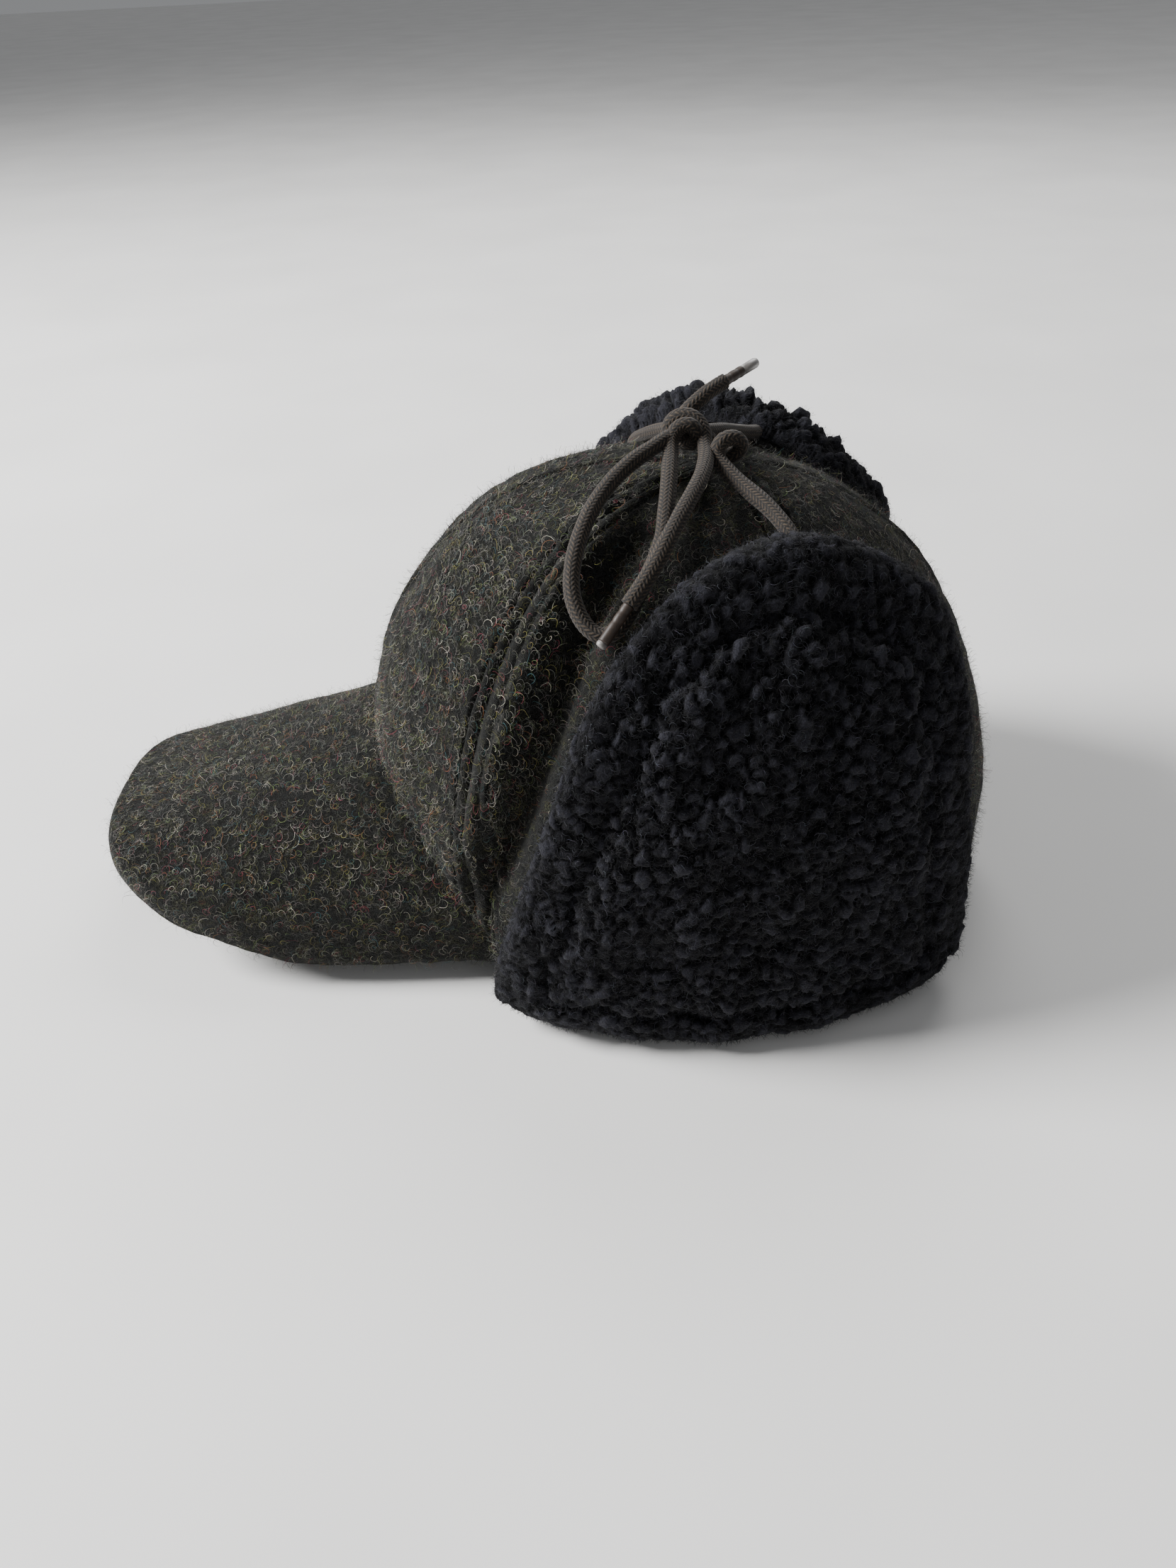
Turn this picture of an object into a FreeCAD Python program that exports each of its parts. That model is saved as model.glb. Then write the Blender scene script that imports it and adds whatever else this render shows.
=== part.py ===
# Trapper hat: a six-panel wool crown with a covered visor and two pile-lined
# ear flaps, folded up and tied over the crown with a cord from each flap.
#
# Millimetres. +Z is up, the visor points to -Y and the wearer's left is +X.
# The origin is the centre of the head opening, on the plane of the rim.
import FreeCAD, Part
import math
import os
from FreeCAD import Vector

# ---- driving dimensions -------------------------------------------------
# crown
crown_half_length = 99.0
crown_half_width = 78.0
crown_height = 142.5
crown_lean = -5.0           # the top sits this far forward of the rim
crown_swell = 0.03          # the walls bulge by this share at half height
side_power = 2.5            # higher is a squarer shoulder
top_power = 2.5             # higher is a flatter top
pole_y = 12.0               # where the six panels meet, seen from above
front_seam_angle = 37.5     # degrees from the front, about the pole
back_seam_angle = 114.0

# layers
wool_thickness = 3.0
lining_thickness = 1.2
band_thickness = 1.8
band_height = 32.0
layer_gap = 0.3
seam_gap = 0.3

# visor
visor_reach = 90.0          # tip to crown front, along the centre line
visor_half_width = 61.0
visor_shoulder_y = -85.0    # the outline starts to round here
visor_end_y = -58.3         # where its two ends stop at the side seams
visor_power = 2.9
visor_skin = 2.2
visor_board = 1.8
visor_board_inset = 3.0
arch_half_width = 66.0
arch_power = 2.8
arch_foot = 7.5             # top of the visor above the table at its ends
arch_rise_root = 55.0       # further rise at the centre, where it meets the crown
arch_rise_tip = 29.5

# ear flaps
flap_gap = 0.8
flap_cloth = 3.0
pile_gap = 0.4
pile_thickness = 10.8
fold_outset = 12.0          # fold axis outside the chord of the flap's base

# cords
cord_diameter = 4.4
aglet_diameter = 3.6
aglet_length = 14.5
tack_length = 5.0
tack_clearance = 2.6        # cord's hinge point above the tack, so that it can turn

big = 400.0                 # reach of cutting tools past the hat
folder = "parts"


# ---- crown form ---------------------------------------------------------
def crown_radius(z, half_width, height):
    """Half width of the crown at height z: a squared-off dome that swells."""
    share = min(max(z / height, 0.0), 1.0)
    dome = (1.0 - share ** top_power) ** (1.0 / side_power)
    return half_width * dome * (1.0 + crown_swell * math.sin(math.pi * z / height))


domes = {}


def crown_form(inset):
    """The whole dome as one solid, inset from the outer face of the wool."""
    if inset not in domes:
        domes[inset] = make_dome(inset)
    return domes[inset].copy()


def make_dome(inset):
    """Revolve the crown's side line, then stretch it lengthways and lean it."""
    half_width = crown_half_width - inset
    height = crown_height - inset
    steps = 12
    below = -12.0
    points = [Vector(crown_radius(below, half_width, height), 0, below)]
    for step in range(steps + 1):
        turn = step / steps * math.pi / 2
        z = height * math.sin(turn) ** (2.0 / top_power)
        points.append(Vector(crown_radius(z, half_width, height), 0, z))
    points[-1] = Vector(0, 0, height)
    side = Part.BSplineCurve()
    side.interpolate(Points=points, FinalTangent=Vector(-1, 0, 0), InitialTangent=Vector(0.05, 0, 1))
    axis_line = Part.LineSegment(points[-1], Vector(0, 0, below))
    floor_line = Part.LineSegment(Vector(0, 0, below), points[0])
    wire = Part.Wire([side.toShape(), axis_line.toShape(), floor_line.toShape()])
    dome = Part.Face(wire).revolve(Vector(0, 0, 0), Vector(0, 0, 1), 360)
    stretch = FreeCAD.Matrix()
    stretch.A22 = (crown_half_length - inset) / half_width
    stretch.A23 = crown_lean / crown_height
    return dome.transformGeometry(stretch)


def slice_block(points):
    """A tall straight-sided block over a polygon seen from above, for cutting."""
    wire = Part.makePolygon(points + [points[0]])
    wire.translate(Vector(0, 0, -big))
    return Part.Face(wire).extrude(Vector(0, 0, 2 * big))


def above_rim():
    """Everything on the rim plane and above it."""
    return Part.makeBox(2 * big, 2 * big, big, Vector(-big, -big, 0))


def shell(outer_inset, inner_inset):
    """A dome-shaped layer, open at the rim."""
    return crown_form(outer_inset).cut(crown_form(inner_inset)).common(above_rim())


# ---- visor arch ---------------------------------------------------------
def arch_rise(y):
    """Rise of the arch above its feet, falling evenly from root to tip."""
    forward = -crown_half_length - y
    return arch_rise_root + (arch_rise_tip - arch_rise_root) * forward / visor_reach


def arch_line(y, drop):
    """Points of the arch at one y, moved in by drop along its normal."""
    rise = arch_rise(y)
    points = []
    steps = 12
    for step in range(steps + 1):
        x = arch_half_width * (2.0 * step / steps - 1.0)
        share = abs(x) / arch_half_width
        z = arch_foot + rise * (1.0 - share ** arch_power)
        slope = -rise * arch_power / arch_half_width * share ** (arch_power - 1.0)
        slope = math.copysign(slope, -x) if x else 0.0
        size = math.hypot(1.0, slope)
        points.append(Vector(x + drop * slope / size, y, z - drop / size))
    return points


def arch_wire(y, top_drop, bottom_drop):
    """A closed section of one visor layer; with no bottom_drop it runs down far below."""
    top = Part.BSplineCurve()
    top.interpolate(arch_line(y, top_drop))
    start = top.StartPoint
    end = top.EndPoint
    if bottom_drop is None:
        low_start = Vector(start.x, y, -big)
        low_end = Vector(end.x, y, -big)
        bottom = Part.LineSegment(low_end, low_start)
    else:
        bottom = Part.BSplineCurve()
        bottom.interpolate(arch_line(y, bottom_drop)[::-1])
        low_end = bottom.StartPoint
        low_start = bottom.EndPoint
    sides = [Part.LineSegment(end, low_end), Part.LineSegment(low_start, start)]
    edges = [top.toShape(), sides[0].toShape(), bottom.toShape(), sides[1].toShape()]
    return Part.Wire(edges)


def arch_layer(top_drop, bottom_drop, back_y, front_y):
    """A layer of the arched visor, or all that lies under it, between two y."""
    wires = [arch_wire(back_y, top_drop, bottom_drop), arch_wire(front_y, top_drop, bottom_drop)]
    return Part.makeLoft(wires, True, True)


def visor_outline(inset):
    """The visor seen from above, as a block: straight sides, then a squared curve."""
    half_width = visor_half_width - inset
    length = crown_half_length + visor_reach + visor_shoulder_y - inset
    steps = 16
    points = []
    for step in range(steps + 1):
        turn = math.pi * step / steps
        x = half_width * math.copysign(abs(math.cos(turn)) ** (2.0 / visor_power), math.cos(turn))
        y = visor_shoulder_y - length * math.sin(turn) ** (2.0 / visor_power)
        points.append(Vector(x, y, -1.0))
    curve = Part.BSplineCurve()
    curve.interpolate(Points=points, InitialTangent=Vector(0, -1, 0), FinalTangent=Vector(0, 1, 0))
    back_right = Vector(-half_width, visor_end_y, -1.0)
    back_left = Vector(half_width, visor_end_y, -1.0)
    lines = [Part.LineSegment(points[-1], back_right), Part.LineSegment(back_right, back_left),
             Part.LineSegment(back_left, points[0])]
    wire = Part.Wire([curve.toShape()] + [line.toShape() for line in lines])
    return Part.Face(wire).extrude(Vector(0, 0, crown_height))


visor_thickness = 2 * visor_skin + visor_board + 2 * layer_gap
visor_front_y = -crown_half_length - visor_reach - 15.0
visor_back_y = -20.0


def under_visor(drop, raise_by=0.0):
    """All that lies under the arch and in front of the visor's two ends."""
    block = arch_layer(drop, None, visor_back_y, visor_front_y)
    block.translate(Vector(0, 0, raise_by))
    front = Part.makeBox(2 * big, big, 2 * big, Vector(-big, visor_end_y - big, -big))
    return block.common(front)


def visor_layer(top_drop, thickness, inset):
    """One layer of the visor, running in under the crown's edge to the lining."""
    layer = arch_layer(top_drop, top_drop + thickness, visor_back_y, visor_front_y)
    layer = layer.common(visor_outline(inset)).common(above_rim())
    return layer.cut(crown_form(wool_thickness + layer_gap))


# ---- panels -------------------------------------------------------------
def wedge(start, end):
    """A vertical slice about the pole between two angles from the front."""
    half = math.radians(end - start) / 2
    middle = math.radians(start + end) / 2
    outward = Vector(math.sin(middle), -math.cos(middle), 0)
    tip = Vector(0, pole_y, 0) + outward * (seam_gap / 2 / math.sin(half))
    rays = [math.radians(start), middle, math.radians(end)]
    corners = [tip + Vector(math.sin(ray), -math.cos(ray), 0) * big for ray in rays]
    return slice_block([tip] + corners)


# ---- flaps --------------------------------------------------------------
# The outline of a raised flap seen from the side: y, then z. The front edge
# leans back, the tip is behind the middle and the back edge stands upright.
flap_outline = [(-56, -5), (-54, 15), (-45.5, 50), (-34, 82), (-21, 108), (-4, 125.5),
                (17, 134), (40, 128.5), (60, 114), (71, 92), (76, 50), (78, -5)]


def flap_block():
    """The flap's outline pushed across the left half of the hat."""
    curve = Part.BSplineCurve()
    curve.interpolate([Vector(0, y, z) for y, z in flap_outline])
    base = Part.LineSegment(curve.EndPoint, curve.StartPoint)
    wire = Part.Wire([curve.toShape(), base.toShape()])
    return Part.Face(wire).extrude(Vector(big, 0, 0))


def flap_layer(near, far):
    """A layer of the left flap: it follows the crown, moved out sideways."""
    outer = crown_form(0.0)
    inner = outer.copy()
    outer.translate(Vector(far, 0, 0))
    inner.translate(Vector(near, 0, 0))
    layer = outer.cut(inner).common(flap_block()).common(above_rim())
    return max(layer.Solids, key=lambda solid: solid.Volume)


def cord_tack(layers):
    """The cord's sewn-in end: a short stub that stands out of the flap's seam."""
    top = Vector(*cord_exit) - Vector(0, 0, tack_clearance)
    stub = Part.makeCylinder(cord_diameter / 2, tack_length, top, Vector(0.25, 0, -1))
    for layer in layers.values():
        stub = stub.cut(layer)
    return max(stub.Solids, key=lambda solid: solid.Volume)


def rim_x(y):
    """Half width of the crown at the rim."""
    return crown_half_width * math.sqrt(1.0 - (y / crown_half_length) ** 2)


def fold_axis():
    """A point on the left flap's fold axis and its direction, along the rim."""
    front_y = flap_outline[0][0]
    back_y = flap_outline[-1][0]
    front = Vector(rim_x(front_y), front_y, 0)
    back = Vector(rim_x(back_y), back_y, 0)
    along = (back - front).normalize()
    outward = Vector(along.y, -along.x, 0)
    return (front + back) * 0.5 + outward * fold_outset, along


# ---- cords --------------------------------------------------------------
def cord_path(points):
    """Straight runs joined by tangent arcs as large as the runs allow."""
    edges = []
    radii = []
    start = points[0]
    for before, corner, after in zip(points, points[1:], points[2:]):
        come = (corner - before).normalize()
        leave = (after - corner).normalize()
        half_turn = come.getAngle(leave) / 2
        reach = 0.45 * min((corner - before).Length, (after - corner).Length)
        radius = reach / math.tan(half_turn)
        inward = (leave - come).normalize()
        first = corner - come * reach
        last = corner + leave * reach
        middle = corner + inward * (radius / math.cos(half_turn) - radius)
        edges.append(Part.LineSegment(start, first).toShape())
        edges.append(Part.Arc(first, middle, last).toShape())
        radii.append(radius)
        start = last
    edges.append(Part.LineSegment(start, points[-1]).toShape())
    return Part.Wire(edges), radii


def cord_tube(name, route, knot):
    """A plain round tube along a route, trimmed where it enters the knot."""
    points = [Vector(*point) for point in route]
    path, radii = cord_path(points)
    circle = Part.Circle(points[0], points[1] - points[0], cord_diameter / 2)
    tube = path.makePipeShell([Part.Wire(circle.toShape())], True, False)
    section = math.pi * cord_diameter ** 2 / 4
    print(name, "length %.0f" % path.Length, "volume share %.3f" % (tube.Volume / section / path.Length),
          "radii", " ".join("%.1f" % radius for radius in radii))
    outside = tube.cut(knot)
    return max(outside.Solids, key=lambda solid: solid.Volume)


def aglet(before, end):
    """The crimped tube on a cord's end: it carries on the way the cord runs."""
    direction = (end - before).normalize()
    tube = Part.makeCylinder(aglet_diameter / 2, aglet_length, end, direction)
    tip = end + direction * aglet_length
    rim = [edge for edge in tube.Edges if (edge.CenterOfMass - tip).Length < aglet_diameter / 10]
    return tube.makeChamfer(aglet_diameter * 0.15, rim)


def half_knot(centre, size):
    """The left half of the bow's knot: a rounded lump on one side of the middle plane."""
    ball = Part.makeSphere(1.0)
    stretch = FreeCAD.Matrix()
    stretch.A11 = size[0]
    stretch.A22 = size[1]
    stretch.A33 = size[2]
    ball = ball.transformGeometry(stretch)
    ball.translate(Vector(*centre))
    return ball.common(Part.makeBox(big, 2 * big, 2 * big, Vector(layer_gap / 2, -big, -big)))


# Both cords leave a flap's tip here (mirrored for the right) and meet in the knot.
cord_exit = (44.0, 26.0, 137.5)

left_standing = [cord_exit, (33, 22, 140), (24.5, 17, 143.3), (16.5, 13.8, 146.6), (7, 10, 149.5)]
left_loop = [(6, 3, 151.5), (10.5, -6.5, 151), (19, -16.5, 147.5), (30, -24.5, 142.5),
             (41, -29.5, 136), (50, -31.5, 128.5), (55.5, -29.5, 122.3), (58.8, -25.2, 118.4),
             (58.9, -20.4, 118.9), (55.9, -16.5, 123.2), (51.2, -12.5, 128.8), (44, -7.5, 135.4),
             (33, -5.5, 141.8), (21, -4, 146.5), (8, 2, 149.5)]
left_tail = [(7, 8.5, 150), (16, 7, 148.5), (26.5, 4, 146.5), (37.5, -1, 143.6),
             (47, -6.8, 139.4), (54.5, -12, 133.2), (59.9, -16.5, 126.1)]

right_standing = [(-cord_exit[0], cord_exit[1], cord_exit[2]), (-33, 24, 140.5), (-24.5, 19.5, 144),
                  (-16, 14, 147), (-7, 7, 150)]
right_loop = [(-6, 1, 152), (-11.5, -5.5, 150), (-20.5, -10, 147.4), (-31, -12.5, 143),
              (-42, -12.5, 137.4), (-49.5, -9, 132), (-51, -2.5, 131.5), (-46.5, 2, 135),
              (-37, 4.5, 140.9), (-25.5, 5, 145.3), (-14, 4.5, 149), (-7, 5, 150.5)]
right_tail = [(-4.5, 3.5, 154), (-4.6, 7.5, 158.2), (-6.5, 11.2, 160.4), (-10.5, 14.6, 160.5)]

left_knot_centre = (5.0, 6.0, 150.5)
left_knot_size = (8.5, 9.0, 5.5)
right_knot_centre = (5.0, 4.0, 151.5)      # made on the left and mirrored
right_knot_size = (8.0, 7.5, 6.2)


# ---- build --------------------------------------------------------------
def crown_parts(parts):
    """Six wool panels, the lining inside them and the sweatband."""
    wool = shell(0.0, wool_thickness).cut(under_visor(-layer_gap))
    seams = {"crown_front_left": (0, front_seam_angle),
             "crown_side_left": (front_seam_angle, back_seam_angle),
             "crown_back_left": (back_seam_angle, 180)}
    for name, (start, end) in seams.items():
        parts[name] = wool.common(wedge(start, end))
        parts[name.replace("left", "right")] = wool.common(wedge(-end, -start))
    lining_outer = wool_thickness + layer_gap
    lining_inner = lining_outer + lining_thickness
    below_visor = under_visor(visor_thickness + layer_gap)
    parts["crown_lining"] = shell(lining_outer, lining_inner).cut(below_visor)
    band_outer = lining_inner + layer_gap
    band = shell(band_outer, band_outer + band_thickness)
    low = Part.makeBox(2 * big, 2 * big, band_height, Vector(-big, -big, 0))
    front = under_visor(visor_thickness, band_height)
    parts["sweatband"] = band.common(low.fuse(front)).cut(below_visor)


def visor_parts(parts):
    """The visor's stiff board between its two cloth covers."""
    board_drop = visor_skin + layer_gap
    under_drop = board_drop + visor_board + layer_gap
    parts["visor_top_cloth"] = visor_layer(0.0, visor_skin, 0.0)
    parts["visor_board"] = visor_layer(board_drop, visor_board, visor_board_inset)
    parts["visor_under_cloth"] = visor_layer(under_drop, visor_skin, 0.0)


def flap_parts(parts):
    """Cloth, pile and the sewn-in cord end of each flap; the right mirrors the left."""
    cloth_far = flap_gap + flap_cloth
    pile_near = cloth_far + pile_gap
    pieces = {"flap_cloth": flap_layer(flap_gap, cloth_far),
              "flap_pile": flap_layer(pile_near, pile_near + pile_thickness)}
    pieces["cord_tack"] = cord_tack(pieces)
    for name, solid in pieces.items():
        parts["left_" + name] = solid
        parts["right_" + name] = solid.mirror(Vector(0, 0, 0), Vector(1, 0, 0))


def cord_parts(parts):
    """Each cord: standing part, half of the knot, bow loop, tail and aglet."""
    left = half_knot(left_knot_centre, left_knot_size)
    right = half_knot(right_knot_centre, right_knot_size).mirror(Vector(0, 0, 0), Vector(1, 0, 0))
    sides = {"left": (left_standing, left_loop, left_tail, left),
             "right": (right_standing, right_loop, right_tail, right)}
    for side, (standing, loop, tail, knot) in sides.items():
        parts[side + "_knot"] = knot
        parts[side + "_cord_standing"] = cord_tube(side + " standing", standing, knot)
        parts[side + "_cord_loop"] = cord_tube(side + " loop", loop, knot)
        parts[side + "_cord_tail"] = cord_tube(side + " tail", tail, knot)
        parts[side + "_aglet"] = aglet(Vector(*tail[-2]), Vector(*tail[-1]))


def build():
    parts = {}
    crown_parts(parts)
    visor_parts(parts)
    flap_parts(parts)
    cord_parts(parts)
    os.makedirs(folder, exist_ok=True)
    for name, shape in parts.items():
        print("%-22s solids %d valid %s volume %.0f" % (name, len(shape.Solids), shape.isValid(), shape.Volume))
        shape.exportStep(os.path.join(folder, name + ".step"))
    point, along = fold_axis()
    print("left fold axis point %.2f %.2f direction %.4f %.4f" % (point.x, point.y, along.x, along.y))


build()
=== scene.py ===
# %% [markdown]
# # A trapper hat, from felted wool, curly pile and braided cord
# The imported CAD model is the fixed frame: its bodies carry most pieces, and its boxes say how big the hat is.
# Each cell below makes one part of the hat as a tailor would name it, and says why it is made that way.

import math

import bpy
import numpy as np
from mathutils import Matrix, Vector, kdtree


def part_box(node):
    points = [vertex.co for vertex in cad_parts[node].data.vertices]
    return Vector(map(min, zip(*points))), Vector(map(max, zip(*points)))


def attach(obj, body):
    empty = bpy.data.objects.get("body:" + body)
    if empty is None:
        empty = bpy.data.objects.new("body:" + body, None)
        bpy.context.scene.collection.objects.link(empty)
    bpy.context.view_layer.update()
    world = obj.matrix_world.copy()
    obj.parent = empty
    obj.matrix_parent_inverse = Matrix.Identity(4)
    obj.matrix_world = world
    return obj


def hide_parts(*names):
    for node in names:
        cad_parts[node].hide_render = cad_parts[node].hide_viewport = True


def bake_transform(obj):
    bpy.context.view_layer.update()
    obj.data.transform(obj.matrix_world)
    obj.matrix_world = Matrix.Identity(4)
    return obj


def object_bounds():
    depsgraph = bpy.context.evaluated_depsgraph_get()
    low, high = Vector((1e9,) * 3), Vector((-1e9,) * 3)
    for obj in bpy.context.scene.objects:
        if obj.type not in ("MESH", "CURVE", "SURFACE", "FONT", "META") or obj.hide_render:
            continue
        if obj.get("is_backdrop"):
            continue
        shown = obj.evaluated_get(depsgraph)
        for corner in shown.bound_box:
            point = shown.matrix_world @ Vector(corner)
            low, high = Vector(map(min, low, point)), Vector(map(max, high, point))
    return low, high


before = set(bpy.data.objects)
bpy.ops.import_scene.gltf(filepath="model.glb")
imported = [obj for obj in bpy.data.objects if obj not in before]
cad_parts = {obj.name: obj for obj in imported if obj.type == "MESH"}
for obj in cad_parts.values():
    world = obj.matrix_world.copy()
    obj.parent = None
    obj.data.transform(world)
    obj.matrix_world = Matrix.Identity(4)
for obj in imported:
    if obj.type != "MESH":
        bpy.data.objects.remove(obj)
cad_box = [list(corner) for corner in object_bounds()]
print("CAD box, metres:", cad_box)

# %% [markdown]
# ## The camera
# The viewer stands at the wearer's left, a little above, so the near ear flap fills the frame.
# The camera looks at a point inside the crown from a known distance, and is then turned a few degrees, so
# that the hat sits below and right of the middle, as a hand-held camera would frame it.

# %% Camera
MM = 0.001
SENSOR = 36.0
LENS = 27.07
target = Vector((0, 0, 68 * MM))
view_azimuth = math.radians(86)
view_elevation = math.radians(31)
view_distance = 380 * MM
target_right = 0.0767    # where the target sits in the frame, as tangents from the middle
target_up = 0.0848

level = math.cos(view_elevation)
back = Vector((math.sin(view_azimuth) * level, -math.cos(view_azimuth) * level, math.sin(view_elevation)))
aim = (-back).to_track_quat("-Z", "Y")
turn = (aim @ Vector((target_right, target_up, -1)).normalized()).rotation_difference(-back)
camera = bpy.data.objects.new("camera", bpy.data.cameras.new("camera"))
camera.data.lens = LENS
camera.data.sensor_width = SENSOR
camera.data.clip_start = 0.01
camera.data.clip_end = 60.0
camera.rotation_mode = "QUATERNION"
camera.location = target + back * view_distance
camera.rotation_quaternion = turn @ aim
bpy.context.scene.collection.objects.link(camera)
bpy.context.scene.camera = camera
print("camera at", [round(value, 3) for value in camera.location])

# %% [markdown]
# ## Helpers for meshes and materials
# Most pieces here are grids of points worked out with numpy, so one helper turns points and faces into a
# smooth object, and another joins a grid's rows and columns into quads. A finish is a small node tree, so one
# helper adds a node with its settings and links.

# %% Mesh and node helpers
def linear(hex_colour):
    """An sRGB hex colour as linear RGBA, which is what shader sockets hold."""
    parts = [int(hex_colour[i:i + 2], 16) / 255 for i in (1, 3, 5)]
    return [part / 12.92 if part <= 0.04045 else ((part + 0.055) / 1.055) ** 2.4 for part in parts] + [1.0]


def mesh_object(name, points, faces, material):
    """A smooth-shaded mesh object in the row frame."""
    mesh = bpy.data.meshes.new(name)
    faces = faces.tolist() if isinstance(faces, np.ndarray) else faces
    mesh.from_pydata(np.asarray(points, float).reshape(-1, 3).tolist(), [], faces)
    mesh.update()
    mesh.shade_smooth()
    mesh.materials.append(material)
    made = bpy.data.objects.new(name, mesh)
    bpy.context.scene.collection.objects.link(made)
    return made


def grid_faces(rows, columns, closed=False, start=0, flip=False):
    """Quads between the points of a rows x columns grid; closed joins the last column to the first."""
    row = np.arange(rows - 1)[:, None] * columns
    column = np.arange(columns if closed else columns - 1)[None, :]
    following = (column + 1) % columns
    corners = [row + column, row + following, row + columns + following, row + columns + column]
    quads = np.stack([corner.ravel() for corner in np.broadcast_arrays(*corners)], 1) + start
    return quads[:, ::-1] if flip else quads


def grid_normals(points, closed=False):
    """Unit normals of a grid of points, from its neighbours along rows and columns."""
    if closed:
        across = np.roll(points, -1, 1) - np.roll(points, 1, 1)
    else:
        across = np.gradient(points, axis=1)
    along = np.gradient(points, axis=0)
    normal = np.cross(across, along)
    return normal / np.maximum(np.linalg.norm(normal, axis=-1, keepdims=True), 1e-12)


def waves(points, wavelength, seed, count=14):
    """Smooth random unevenness, about -1 to 1, as a sum of waves in random directions."""
    chance = np.random.default_rng(seed)
    ways = chance.normal(size=(count, 3))
    ways /= np.linalg.norm(ways, axis=1, keepdims=True)
    ways *= 2 * math.pi / wavelength * chance.uniform(0.7, 1.4, (count, 1))
    return np.sin(points @ ways.T + chance.uniform(0, 2 * math.pi, count)).sum(-1) / math.sqrt(count)


def set_attribute(made, name, kind, values):
    """Stores one value per point on a mesh, for a material to read."""
    attribute = made.data.attributes.new(name, kind, "POINT")
    field = "color" if kind == "FLOAT_COLOR" else "value"
    attribute.data.foreach_set(field, np.asarray(values, np.float32).ravel())


def add(tree, kind, inputs=None, **settings):
    """Adds a node, sets its settings, and fills its inputs with values or links."""
    node = tree.nodes.new(kind)
    for key, value in settings.items():
        setattr(node, key, value)
    for key, value in (inputs or {}).items():
        if isinstance(value, bpy.types.NodeSocket):
            tree.links.new(value, node.inputs[key])
        else:
            node.inputs[key].default_value = value
    return node


def new_material(name):
    """An empty material with its Principled shader; returns all three."""
    material = bpy.data.materials.new(name)
    material.use_nodes = True
    tree = material.node_tree
    return material, tree, tree.nodes["Principled BSDF"]


def ramp(tree, factor, stops, interpolation="LINEAR"):
    """A colour ramp with (place, hex colour) stops."""
    node = add(tree, "ShaderNodeValToRGB", {"Fac": factor})
    node.color_ramp.interpolation = interpolation
    while len(node.color_ramp.elements) < len(stops):
        node.color_ramp.elements.new(0.5)
    for element, (place, colour) in zip(node.color_ramp.elements, stops):
        element.position = place
        element.color = linear(colour)
    return node.outputs["Color"]


def per_metre(millimetres):
    """A texture scale that repeats once in so many millimetres."""
    return 1000.0 / millimetres


# %% [markdown]
# ## Braided cord
# Each cord is a round braid of matt cotton-like yarn. Its strands cross two over, two under, which gives
# columns of small chevrons along the cord. The relief is geometry: a tube whose surface rises and falls with
# the strands, read from one smooth NURBS line for each cord, so nothing is faceted. Its colour adds painted
# shade where the strands dive under and a painted highlight on their crowns.
# The line's points are the route.

# %% Cord material
def braid_yarn():
    """Matt taupe braided yarn: painted highlight on crowns, painted shade where the yarn dives under."""
    material, tree, shader = new_material("braided_matt_yarn")
    place = add(tree, "ShaderNodeTexCoord").outputs["Object"]
    height = add(tree, "ShaderNodeAttribute", attribute_name="lift").outputs["Fac"]
    fibre = add(tree, "ShaderNodeTexNoise", {"Vector": place, "Scale": per_metre(0.5), "Detail": 4.0})
    patch = add(tree, "ShaderNodeTexNoise", {"Vector": place, "Scale": per_metre(9), "Detail": 2.0})
    # The ramp on lift is painted light: near black where the yarn dives under, paler on the crowns.
    painted_strand_shade = ramp(tree, height, [(0.35, "#030202"), (0.8, "#1f1812"), (1.0, "#5d4f40")])
    worn_and_painted_shade = add(tree, "ShaderNodeMix", {"Factor": fibre.outputs["Fac"], 6: painted_strand_shade,
                                       7: linear("#807a6c")}, data_type="RGBA", blend_type="SOFT_LIGHT")
    aged_and_painted_shade = add(tree, "ShaderNodeMix", {"Factor": patch.outputs["Fac"], 6: worn_and_painted_shade.outputs[2],
                                       7: linear("#7f7a70")}, data_type="RGBA", blend_type="SOFT_LIGHT")
    bump = add(tree, "ShaderNodeBump", {"Height": fibre.outputs["Fac"], "Strength": 0.35,
                                        "Distance": 0.15 * MM})
    tree.links.new(aged_and_painted_shade.outputs[2], shader.inputs["Base Color"])
    tree.links.new(bump.outputs["Normal"], shader.inputs["Normal"])
    shader.inputs["Roughness"].default_value = 0.85
    shader.inputs["Sheen Weight"].default_value = 0.1
    shader.inputs["Sheen Roughness"].default_value = 0.5
    return material


yarn = braid_yarn()
print("material", yarn.name)

# %% The line that a cord follows
cord_diameter = 4.4 * MM


def smooth_line(name, route):
    """Points along the NURBS line of a route given in millimetres."""
    curve = bpy.data.curves.new(name, "CURVE")
    curve.dimensions = "3D"
    curve.resolution_u = 24
    spline = curve.splines.new("NURBS")
    spline.points.add(len(route) - 1)
    for point, place in zip(spline.points, route):
        point.co = [value * MM for value in place] + [1.0]
    spline.order_u = 3
    spline.use_endpoint_u = True
    carrier = bpy.data.objects.new(name, curve)
    mesh = bpy.data.meshes.new_from_object(carrier)
    line = np.array([vertex.co for vertex in mesh.vertices], float)
    bpy.data.meshes.remove(mesh)
    bpy.data.objects.remove(carrier)
    return line


def evenly(line, step):
    """The same line with points a step apart, and the distance along it of each."""
    lengths = np.linalg.norm(np.diff(line, axis=0), axis=1)
    travelled = np.concatenate([[0], np.cumsum(lengths)])
    kept = np.concatenate([[True], lengths > 1e-9])
    places = np.linspace(0, travelled[-1], max(int(travelled[-1] / step), 2) + 1)
    return np.stack([np.interp(places, travelled[kept], line[kept, axis]) for axis in range(3)], 1), places


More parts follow.
